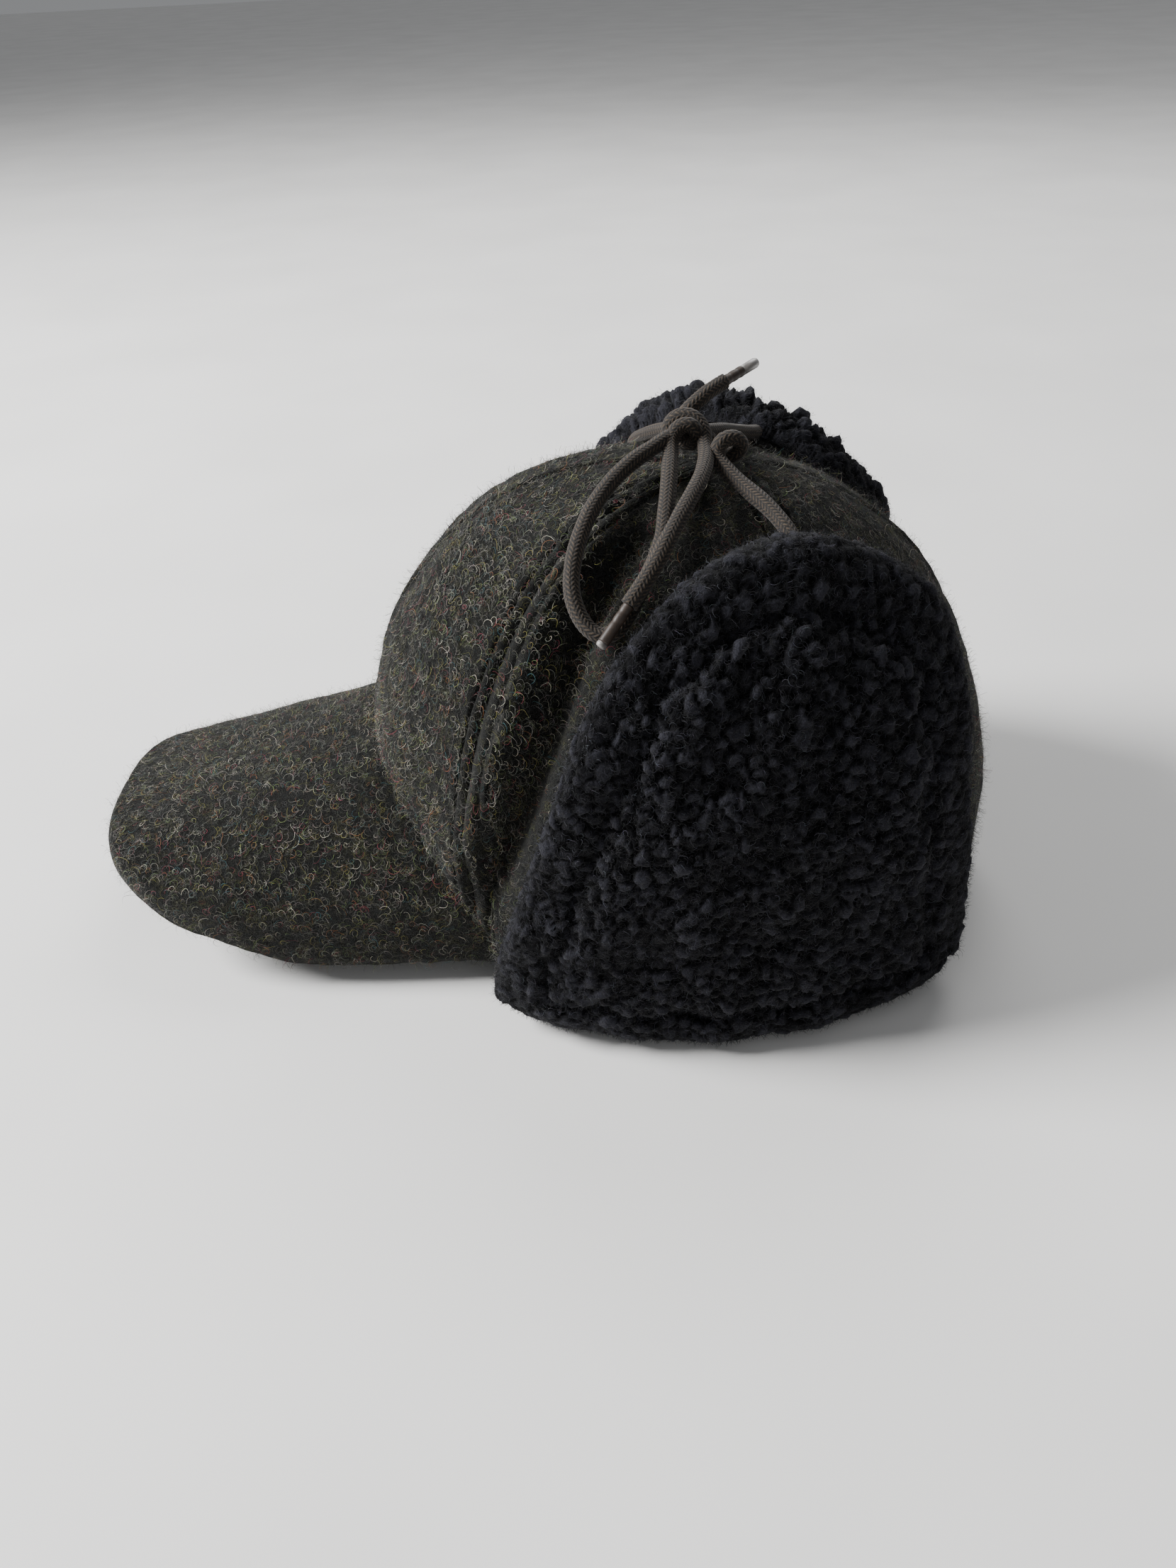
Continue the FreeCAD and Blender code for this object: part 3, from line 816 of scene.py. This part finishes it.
def visor_cloth(name, top_drop, bottom_drop, turned_up, seed):
    """One cloth of the visor as a closed piece; turned_up says whether it rolls over the edge from below."""
    columns = 150
    rows = 74
    angle = np.radians(np.linspace(-89.5, 89.5, columns))[None, :]
    outer = outline_reach(angle) - (1.0 * MM if turned_up else 0.0)
    inner = np.minimum(crown_reach(angle), outer - 0.6 * MM)
    share = (1 - (1 - np.linspace(0, 1, rows)) ** 1.35)[:, None]
    reach = inner + (outer - inner) * share
    x = np.sin(angle) * reach
    y = visor_end_y - np.cos(angle) * reach
    from_edge = (outer - reach)
    roll = np.clip(1 - from_edge / (3.2 * MM), 0, 1)
    rounding = 1 - np.sqrt(np.clip(1 - roll ** 2, 0, 1))
    middle_drop = visor_thickness * edge_seam + (0.1 * MM if turned_up else -0.1 * MM)
    face_drop = top_drop if not turned_up else bottom_drop
    back_drop = bottom_drop if not turned_up else top_drop
    face = face_drop + (middle_drop - face_drop) * rounding
    flat = np.stack([x, y, np.zeros_like(x)], -1)
    ease = 0.35 * MM * waves(flat, 30 * MM, seed) + 0.12 * MM * waves(flat, 6 * MM, seed + 1)
    from_root = reach - inner
    ease = ease - 0.8 * MM * np.exp(-(from_root / (2.5 * MM)) ** 2)
    sign = -1 if not turned_up else 1
    face_points = arch(x, y, face + sign * ease)
    inset = np.clip(1 - from_edge / (2.2 * MM), 0, 1) * 1.2 * MM
    back_points = arch(x - np.sin(angle) * inset, y + np.cos(angle) * inset,
                       np.where(roll > 0, back_drop + (middle_drop - back_drop) * rounding, back_drop))
    count = rows * columns
    face_first = not turned_up
    faces = [grid_faces(rows, columns, flip=not face_first),
             grid_faces(rows, columns, start=count, flip=face_first)]
    border = np.concatenate([np.arange(columns), np.arange(1, rows) * columns + columns - 1,
                             (rows - 1) * columns + np.arange(columns - 2, -1, -1),
                             np.arange(rows - 2, 0, -1) * columns])
    following = np.roll(border, -1)
    rim = np.stack([following, border, border + count, following + count], 1)
    faces.append(rim if face_first else rim[:, ::-1])
    made = mesh_object(name, np.concatenate([face_points.reshape(-1, 3), back_points.reshape(-1, 3)]),
                       np.concatenate(faces), wool)
    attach(made, "crown")
    normal = grid_normals(face_points)
    normal *= np.where((normal[..., 2:] > 0) == face_first, 1, -1)
    fibres = most_fibres if face_first else under_cloth_fibres
    hair = wool_hair(name + "_nap", face_points, normal, fibres, "crown", seed + 7)
    print(name, "faces", len(made.data.polygons), "fibres", len(hair.data.polygons) // fibre_steps)
    return made


visor_top = visor_cloth("visor_top_wool", 0.0, visor_skin, False, 21)
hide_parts("visor_top_cloth")
visor_under = visor_cloth("visor_under_wool", visor_under_drop, visor_thickness, True, 31)
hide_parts("visor_under_cloth")
# %% [markdown]
# ## Lining and sweatband
# Inside, a thin lining follows the wool, and a cotton band runs round the head opening. They show only from
# below, so they are plain closed shells with the slight slackness that a sewn-in lining has.

# %% Lining and band cloth
def woven_cloth(name, dark, pale, thread):
    """A plain weave, drawn with its threads a set distance apart in millimetres."""
    material, tree, shader = new_material(name)
    place = add(tree, "ShaderNodeTexCoord").outputs["Object"]
    heights = []
    for direction in ("X", "Z"):
        thread_wave = add(tree, "ShaderNodeTexWave", {"Vector": place, "Scale": per_metre(thread) / 20,
                                                      "Distortion": 0.4}, bands_direction=direction)
        heights.append(thread_wave.outputs["Fac"])
    weave = add(tree, "ShaderNodeMath", {0: heights[0], 1: heights[1]}, operation="MULTIPLY").outputs[0]
    patch = add(tree, "ShaderNodeTexNoise", {"Vector": place, "Scale": per_metre(12), "Detail": 3.0})
    mixture = add(tree, "ShaderNodeMath", {0: weave, 1: patch.outputs["Fac"]},
                  operation="MULTIPLY").outputs[0]
    bump = add(tree, "ShaderNodeBump", {"Height": weave, "Strength": 0.5, "Distance": 0.15 * MM})
    tree.links.new(ramp(tree, mixture, [(0.0, dark), (0.6, pale)]), shader.inputs["Base Color"])
    tree.links.new(bump.outputs["Normal"], shader.inputs["Normal"])
    shader.inputs["Roughness"].default_value = 0.6
    shader.inputs["Sheen Weight"].default_value = 0.2
    return material


lining_cloth = woven_cloth("woven_viscose_lining", "#14161d", "#2b303d", 0.8)
band_cloth = woven_cloth("woven_cotton_band", "#101114", "#26282e", 1.2)


# %% Inner shells
def inner_shell(name, inset, thickness, top_of, material, slack, node):
    """A closed shell inside the crown; top_of gives its top lift from its lowest."""
    columns = 240
    rows = 60
    angle = np.radians(np.linspace(-180, 180, columns, endpoint=False))[None, :]
    lowest = edge_lift(angle[0], inset, visor_thickness + 0.4 * MM)[None, :]
    highest = top_of(lowest)
    lift = lowest + (highest - lowest) * np.linspace(0, 1, rows)[:, None]
    outer = dome_point(angle, lift, inset)
    inner = dome_point(angle, lift, inset + thickness)
    normal = grid_normals(inner, closed=True)
    normal *= np.sign((normal * (inner - pole)).sum(-1, keepdims=True))
    outer = outer + normal * side_fold(dome_point(angle, lift))[..., None]
    inner = inner + normal * side_fold(dome_point(angle, lift))[..., None]
    inner = inner - normal * (slack * np.clip(waves(inner, 24 * MM, 41), 0, 1))[..., None]
    count = rows * columns
    faces = [grid_faces(rows, columns, closed=True),
             grid_faces(rows, columns, closed=True, start=count, flip=True)]
    for row in (0, rows - 1):
        ring = row * columns + np.arange(columns)
        following = np.roll(ring, -1)
        quads = np.stack([following, ring, ring + count, following + count], 1)
        faces.append(quads if row == 0 else quads[:, ::-1])
    made = mesh_object(name, np.concatenate([outer.reshape(-1, 3), inner.reshape(-1, 3)]),
                       np.concatenate(faces), material)
    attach(made, "crown")
    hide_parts(node)
    print(name, "faces", len(made.data.polygons))


def lining_top(lowest):
    """The lining runs on to just short of the crown's pole."""
    return math.radians(89.6) + 0 * lowest


def band_top(lowest):
    """The band stands its own height above the opening's edge."""
    mean_reach = 92 * MM
    return lowest + band_height / mean_reach


inner_shell("woven_lining", lining_inset, lining_thickness, lining_top, lining_cloth, 1.0 * MM,
            "crown_lining")
inner_shell("cotton_sweatband", band_inset, band_thickness, band_top, band_cloth, 0.2 * MM,
            "sweatband")

# %% [markdown]
# ## Ear flaps
# A flap is cut from the crown's wool, faced with a thick curly pile and folded up, so that the pile shows.
# Its base follows the crown, moved out sideways as in the CAD, and a point of it is given by its place
# seen from the side. The cloth is a thin closed sheet.

# %% Flap base
flap_gap = 0.8 * MM
flap_cloth_thickness = 3 * MM
pile_base = 4.2 * MM
pile_outline = [(-46, 0.8), (-56.5, 7), (-56.5, 20), (-46.8, 50), (-35.8, 80), (-27, 103), (-12, 121),
                (4, 130), (22, 133), (42, 127), (60, 114.5), (69, 99), (71.5, 70), (75, 32), (76.5, 9),
                (68, 0.8), (12, 0.4)]


def flap_surface(y, z, offset):
    """The left flap's surface at (y, z): the crown's side moved out by an offset."""
    radius = np.maximum(dome_radius(z), 1e-6)
    stretch = half_length / half_width
    share = np.clip((y - crown_lean * z / crown_height) / stretch / radius, -0.985, 0.985)
    return np.stack([radius * np.sqrt(1 - share ** 2) + offset, y, z], -1)


def closed_outline(corners, count):
    """A smooth closed outline in (y, z), evenly spaced, from corner points in millimetres."""
    loop = [(0.0, y, z) for y, z in corners]
    curve = bpy.data.curves.new("outline", "CURVE")
    curve.dimensions = "3D"
    curve.resolution_u = 24
    spline = curve.splines.new("NURBS")
    spline.points.add(len(loop) - 1)
    for point, place in zip(spline.points, loop):
        point.co = [value * MM for value in place] + [1.0]
    spline.order_u = 3
    spline.use_cyclic_u = True
    carrier = bpy.data.objects.new("outline", curve)
    mesh = bpy.data.meshes.new_from_object(carrier)
    line = np.array([vertex.co for vertex in mesh.vertices], float)
    bpy.data.objects.remove(carrier)
    line = np.concatenate([line, line[:1]])
    even, _ = evenly(line, np.linalg.norm(np.diff(line, axis=0), axis=1).sum() / count)
    return even[:count, 1:]


flap_middle = np.array([12 * MM, 62 * MM])    # (y, z) on the crown's side


def flap_rings(outline, from_edge, inner_rings):
    """Rings of (y, z) points from the outline in to its centre: set distances first, then even shares."""
    reach = np.linalg.norm(outline - flap_middle, axis=1)
    shares = [1 - distance / reach for distance in from_edge]
    for share in np.linspace(1, 0.015, inner_rings + 1)[1:]:
        shares.append(shares[len(from_edge) - 1] * share)
    return np.stack([flap_middle + (outline - flap_middle) * share[:, None] for share in shares])


def disc_grid(outline, rows):
    """A square grid of (y, z) points bent to fill the outline, finer towards its edge."""
    across, up = np.meshgrid(np.linspace(-1, 1, rows), np.linspace(-1, 1, rows))
    flat_y = across * np.sqrt(1 - up ** 2 / 2)
    flat_z = up * np.sqrt(1 - across ** 2 / 2)
    share = np.clip(np.hypot(flat_y, flat_z), 1e-6, 1)
    angle = np.arctan2(flat_z, flat_y)
    spokes = outline - flap_middle
    spoke_angle = np.arctan2(spokes[:, 1], spokes[:, 0])
    order = np.argsort(spoke_angle)
    reach = np.interp(angle, spoke_angle[order], np.linalg.norm(spokes, axis=1)[order], period=2 * math.pi)
    reach = reach * (1 - (1 - share) ** 1.25)
    return flap_middle + np.stack([np.cos(angle), np.sin(angle)], -1) * reach[..., None]


def ring_faces(rings, count, start=0, flip=False):
    """Quads between rings, and one face to fill the smallest."""
    faces = grid_faces(rings, count, closed=True, start=start, flip=flip).tolist()
    last = start + (rings - 1) * count + np.arange(count)
    faces.append((last if not flip else last[::-1]).tolist())
    return faces


# %% [markdown]
# ## Curly pile
# The pile is knitted fleece with short curls that clump together. Its edge rolls: the fabric is turned and
# sewn some 13 mm in, which leaves a groove inside a full round rim. The body is a cushioned surface with each
# clump raised and the lines between them sunk, and short curled hair grows out of every clump.

# %% Pile materials
def curly_pile():
    """Blue-black matt acrylic fleece: painted shade in hollows, painted dusty blue-grey light on tips."""
    material, tree, shader = new_material("curly_acrylic_fleece")
    place = add(tree, "ShaderNodeTexCoord").outputs["Object"]
    height = add(tree, "ShaderNodeAttribute", attribute_name="loft").outputs["Fac"]
    curl = add(tree, "ShaderNodeTexNoise", {"Vector": place, "Scale": per_metre(0.9), "Detail": 3.0,
                                            "Distortion": 1.2})
    lit = add(tree, "ShaderNodeMath", {0: height, 1: curl.outputs["Fac"]}, operation="MULTIPLY").outputs[0]
    bump = add(tree, "ShaderNodeBump", {"Height": curl.outputs["Fac"], "Strength": 0.9, "Distance": 0.6 * MM})
    # The loft ramp is painted light: near black in the valleys between clumps, blue-grey on clump tops.
    tree.links.new(ramp(tree, lit, [(0.02, "#060607"), (0.22, "#131316"), (0.55, "#2a2a30")]),
                   shader.inputs["Base Color"])
    tree.links.new(bump.outputs["Normal"], shader.inputs["Normal"])
    shader.inputs["Roughness"].default_value = 0.9
    shader.inputs["Specular IOR Level"].default_value = 0.1
    shader.inputs["Sheen Weight"].default_value = 0.06
    shader.inputs["Sheen Roughness"].default_value = 0.4
    return material


pile_fabric = curly_pile()
pile_fibre = loose_fibre("fleece_fibre", 0.05)

# %% Pile body
def pile_height(distance):
    """Thickness of the pile at a distance in from its edge: round rim, groove, then the cushioned middle."""
    rim = 10.6 * MM * np.sqrt(np.clip(1 - np.clip(1 - distance / (7.0 * MM), 0, 1) ** 2, 0, 1))
    groove = 3.0 * MM * np.exp(-((distance - 14.0 * MM) / (2.0 * MM)) ** 2)
    settle = 1.2 * MM * np.clip((distance - 9 * MM) / (30 * MM), 0, 1)
    return rim - groove - settle


def spread_centres(points, spacing, chance):
    """A random choice of the points that keeps them at least a spacing apart."""
    cells = {}
    kept = []
    for index in chance.permutation(len(points)):
        point = points[index]
        cell = tuple((point // spacing).astype(int))
        crowded = False
        for dx in (-1, 0, 1):
            for dy in (-1, 0, 1):
                for dz in (-1, 0, 1):
                    for other in cells.get((cell[0] + dx, cell[1] + dy, cell[2] + dz), ()):
                        gap = points[other] - point
                        if gap @ gap < spacing ** 2:
                            crowded = True
        if not crowded:
            cells.setdefault(cell, []).append(index)
            kept.append(index)
    return np.array(kept)


def pile(side, mirror, lift_up, lean_front, tufts, seed):
    """One flap's pile with its hair, its upper front raised and leant forward, and the tufts at its top."""
    chance = np.random.default_rng(seed)
    rows = 196
    outline_points = 430
    outline = closed_outline(pile_outline, outline_points)
    spots = disc_grid(outline, rows)
    y, z = spots[..., 0], spots[..., 1]
    base = flap_surface(y, z, pile_base)
    normal = grid_normals(base)
    normal *= np.where(normal[..., :1] > 0, 1, -1)
    distance = np.stack([np.sqrt(((row[:, None] - outline[None]) ** 2).sum(-1).min(1)) for row in spots])
    border = np.concatenate([np.arange(rows), np.arange(1, rows) * rows + rows - 1,
                             (rows - 1) * rows + np.arange(rows - 2, -1, -1),
                             np.arange(rows - 2, 0, -1) * rows])
    distance.ravel()[border] = 0
    outward = spots - flap_middle
    outward /= np.maximum(np.linalg.norm(outward, axis=-1, keepdims=True), 1e-9)
    bulge = 2.6 * MM * np.sin(np.pi * np.clip(distance / (9 * MM), 0, 1)) * (z > 12 * MM)
    top = np.clip((z - 85 * MM) / (45 * MM), 0, 1)
    front = np.clip((62 * MM - y) / (55 * MM), 0, 1)
    shift = np.stack([0 * top, -lean_front * top, lift_up * top * front], -1)
    slack = 0.9 * MM * waves(base, 22 * MM, seed + 1) * np.clip(distance / (6 * MM), 0, 1)
    stray = 1.3 * MM * waves(base, 17 * MM, seed + 8)
    surface = base + normal * (pile_height(np.clip(distance + stray * (distance > 9 * MM), 0, None))
                               + slack)[..., None] + shift
    surface[..., 1] += outward[..., 0] * bulge
    surface[..., 2] += outward[..., 1] * bulge
    full = grid_normals(surface)
    full *= np.where((full * normal).sum(-1, keepdims=True) < -0.2, -1, 1)
    flat = surface.reshape(-1, 3)
    ruffle = np.stack([waves(flat, 6.5 * MM, seed + 5 + axis) for axis in range(3)], 1)
    bent = flat + 1.1 * MM * ruffle
    centres = spread_centres(bent, 3.5 * MM, chance)
    tree = kdtree.KDTree(len(centres))
    for number, index in enumerate(centres):
        tree.insert(bent[index], number)
    tree.balance()
    found = [tree.find_n(point, 2) for point in bent]
    first = np.array([hit[0][2] for hit in found])
    second = np.array([hit[1][2] for hit in found])
    owner = np.array([hit[0][1] for hit in found])
    size = chance.uniform(0.35, 1.25, len(centres))[owner]
    dome = np.sqrt(np.clip(1 - (first / (2.9 * MM)) ** 2, 0, 1))
    valley = np.exp(-((second - first) / (0.8 * MM)) ** 2)
    # loft only colours the pile: through its material it paints shade in valleys and light on clump tops.
    loft = np.clip(dome * size - 0.45 * valley, 0, 1.2)
    fine = 0.35 * waves(flat, 3.4 * MM, seed + 2) + 0.2 * waves(flat, 1.6 * MM, seed + 9)
    inside = np.clip((distance.ravel() - 7 * MM) / (6 * MM), 0, 1)
    rising = np.clip(distance.ravel() / (1.5 * MM), 0, 1)
    deep = (0.4 + 0.12 * tufts * top.ravel() * (1 - inside) + 0.6 * inside) * rising
    near_rim = np.exp(-((distance.ravel() / MM - 6) / 4) ** 2)
    spike = tufts * np.clip(dome * size - 0.45, 0, 1) * top.ravel() * near_rim
    lump = (1.7 * dome * size - 1.2 * valley + fine) * MM * deep + spike * MM
    body = flat + full.reshape(-1, 3) * lump[:, None]
    body[:, 2] = np.maximum(body[:, 2], 0.15 * MM)
    back = (flap_surface(y, z, pile_base - 0.1 * MM) + shift).reshape(-1, 3)
    body[border] = back[border]
    count = rows * rows
    following = np.roll(border, -1)
    rim = np.stack([following, border, border + count, following + count], 1)
    faces = np.concatenate([grid_faces(rows, rows), grid_faces(rows, rows, start=count, flip=True), rim])
    points = np.concatenate([body, back + [-0.05 * MM, 0, 0]])
    if mirror:
        points = points * [-1, 1, 1]
        faces = faces[:, ::-1]
    made = mesh_object(side + "_pile", points, faces, pile_fabric)
    set_attribute(made, "loft", "FLOAT", np.concatenate([loft, np.zeros(count)]))
    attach(made, side + "_flap")
    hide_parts(side + "_flap_pile")
    hair_count = 38000
    halves = 2      # the hair is two pieces, so that neither is thinned out when it is exported
    place, out = scatter(body.reshape(rows, rows, 3), full, hair_count, chance)
    nearest = np.array([tree.find(point)[0] for point in place])
    away = place - nearest
    away -= out * (away * out).sum(1, keepdims=True)
    lean = -away * 0.25 + out * chance.uniform(0.1, 1.0, (hair_count, 1)) * MM
    shade = np.array([linear(colour) for colour in ("#0a0a0c", "#141417", "#25252b", "#3b3c44")])
    tints = shade[chance.choice(4, hair_count, p=[0.35, 0.33, 0.24, 0.08])]
    if mirror:
        place, out, lean = (value * [-1, 1, 1] for value in (place, out, lean))
    lengths = chance.uniform(1.4, 3.8, hair_count) * MM
    widths = chance.uniform(0.07, 0.13, hair_count) * MM
    roots = place - out * 0.2 * MM
    for half in range(halves):
        own = slice(half, None, halves)
        hair = ribbons("%s_pile_curls_%d" % (side, half + 1), roots[own], out[own], lengths[own], widths[own],
                       tints[own], pile_fibre, seed + 3 + half, 0.9 * MM, 0.75 * MM, 5, lean[own])
        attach(hair, side + "_flap")
    print(made.name, "faces", len(made.data.polygons), "clumps", len(centres), "hairs", hair_count)


pile("left", False, 0.0, 0.0, 0.8, 51)
pile("right", True, 8 * MM, 2.5 * MM, 5.0, 61)

# %% [markdown]
# ## Flap cloth
# Behind the pile is the flap's wool, which is the outside when the flap hangs down. It joins the crown at the
# rim, and all of it follows the crown's side, moved out by a small gap.

# %% Flap cloths
cloth_outline = [(-50, 0.4), (-54.5, 6), (-53.5, 20), (-45.3, 50), (-34, 82), (-21.5, 106), (-4, 123),
                 (18, 131.5), (40, 126), (59, 112), (69, 92), (74, 50), (76, 12), (72, 0.4), (12, 0.3)]


def flap_cloth(side, mirror, seed):
    """The wool behind a flap's pile, as a closed sheet with rounded edges."""
    count = 260
    outline = closed_outline(cloth_outline, count)
    steps = np.array([0, 0.5, 1.2, 2.2, 4, 6.5, 9.5, 13]) * MM
    inner_rings = 34
    rings = flap_rings(outline, steps, inner_rings)
    y, z = rings[..., 0], rings[..., 1]
    distance = np.broadcast_to(np.concatenate([steps, np.full(inner_rings, 20 * MM)])[:, None], y.shape)
    pinch = (1 - np.sqrt(np.clip(1 - np.clip(1 - distance / (1.5 * MM), 0, 1) ** 2, 0, 1))) * 1.3 * MM
    near = flap_surface(y, z, flap_gap + 0.1 * MM + pinch)
    far = flap_surface(y, z, flap_gap + flap_cloth_thickness - 0.1 * MM - pinch)
    near[..., 0] += 0.12 * MM * waves(near, 8 * MM, seed)
    total = len(rings) * count
    faces = ring_faces(len(rings), count) + ring_faces(len(rings), count, start=total, flip=True)
    ring = np.arange(count)
    following = np.roll(ring, -1)
    faces += np.stack([following, ring, ring + total, following + total], 1).tolist()
    points = np.concatenate([far.reshape(-1, 3), near.reshape(-1, 3)])
    points[:, 2] = np.maximum(points[:, 2], 0.1 * MM)
    if mirror:
        points = points * [-1, 1, 1]
        faces = [face[::-1] for face in faces]
    made = mesh_object(side + "_flap_wool", points, faces, wool)
    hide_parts(side + "_flap_cloth")
    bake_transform(made)
    normal = grid_normals(near, closed=True)
    normal *= np.where(normal[..., :1] > 0, -1, 1)
    if mirror:
        near, normal = near * [-1, 1, 1], normal * [-1, 1, 1]
    hair = wool_hair(side + "_flap_nap", near[:-2], normal[:-2], flap_fibres, side + "_flap", seed + 1)


flap_cloth("left", False, 71)
flap_cloth("right", True, 81)

# %% [markdown]
# ## Visor board
# The board between the visor's cloths is a stiff moulded sheet. It is a plain part whose CAD shape is right,
# so it stays and only gets its finish.

# %% Board material
def moulded_polyethylene():
    """Moulded polyethylene: milky, waxy, with a fine orange-peel surface."""
    material, tree, shader = new_material("moulded_polyethylene")
    place = add(tree, "ShaderNodeTexCoord").outputs["Object"]
    peel = add(tree, "ShaderNodeTexNoise", {"Vector": place, "Scale": per_metre(1.5), "Detail": 3.0})
    bump = add(tree, "ShaderNodeBump", {"Height": peel.outputs["Fac"], "Strength": 0.2,
                                        "Distance": 0.05 * MM})
    tree.links.new(ramp(tree, peel.outputs["Fac"], [(0.3, "#c9c9c2"), (0.7, "#dcdcd6")]),
                   shader.inputs["Base Color"])
    tree.links.new(bump.outputs["Normal"], shader.inputs["Normal"])
    shader.inputs["Roughness"].default_value = 0.42
    shader.inputs["IOR"].default_value = 1.54
    return material


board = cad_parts["visor_board"]
board.data.materials.clear()
board.data.materials.append(moulded_polyethylene())

# %% [markdown]
# ## Table and light
# The hat stands on a pale matt table in soft daylight: one large window-like light high on the visor's side,
# a weaker one on the far side, a faint fill on the near side, and a weak even sky.

# %% Table and lights
def painted_board():
    """Matt white paint, barely uneven."""
    material, tree, shader = new_material("matt_white_paint")
    place = add(tree, "ShaderNodeTexCoord").outputs["Object"]
    uneven = add(tree, "ShaderNodeTexNoise", {"Vector": place, "Scale": per_metre(140), "Detail": 2.0})
    tree.links.new(ramp(tree, uneven.outputs["Fac"], [(0.3, "#e9e8e6"), (0.7, "#f1f0ee")]),
                   shader.inputs["Base Color"])
    shader.inputs["Roughness"].default_value = 0.7
    return material


table_size = 9.0
table_rows = 9
table_height = -0.0004    # just under the hat, so that no two faces lie in one plane
cuts = np.linspace(-table_size, table_size, table_rows)
table_points = np.array([[x, y, table_height] for x in cuts for y in cuts])
table = mesh_object("table", table_points, grid_faces(table_rows, table_rows, flip=True), painted_board())
table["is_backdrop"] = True

# Each lamp's place in metres, power in watts and disc size in metres.
lamps = {
    "window": ((-0.05, -1.6, 1.2), 94.0, 0.8),
    "rear": ((-1.1, 0.3, 1.3), 14.0, 1.2),
    "near_fill": ((1.6, 0.2, 1.1), 2.0, 1.4)}
sky_strength = 0.26
for name, (place, power, size) in lamps.items():
    light = bpy.data.lights.new(name, "AREA")
    light.shape = "DISK"
    light.size = size
    light.energy = power
    lamp = bpy.data.objects.new(name, light)
    lamp.location = place
    lamp.rotation_mode = "QUATERNION"
    lamp.rotation_quaternion = (target - lamp.location).to_track_quat("-Z", "Y")
    bpy.context.scene.collection.objects.link(lamp)

world = bpy.data.worlds.new("sky")
bpy.context.scene.world = world
world.use_nodes = True
world.node_tree.nodes["Background"].inputs["Color"].default_value = linear("#f6f8fb")
world.node_tree.nodes["Background"].inputs["Strength"].default_value = sky_strength

# %% Write the sizes and finish
visual_box = [list(corner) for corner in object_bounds()]
below = [round((cad - seen) / MM, 1) for cad, seen in zip(cad_box[0], visual_box[0])]
above = [round((seen - cad) / MM, 1) for cad, seen in zip(cad_box[1], visual_box[1])]
print("beyond the CAD box, mm:", below, above)
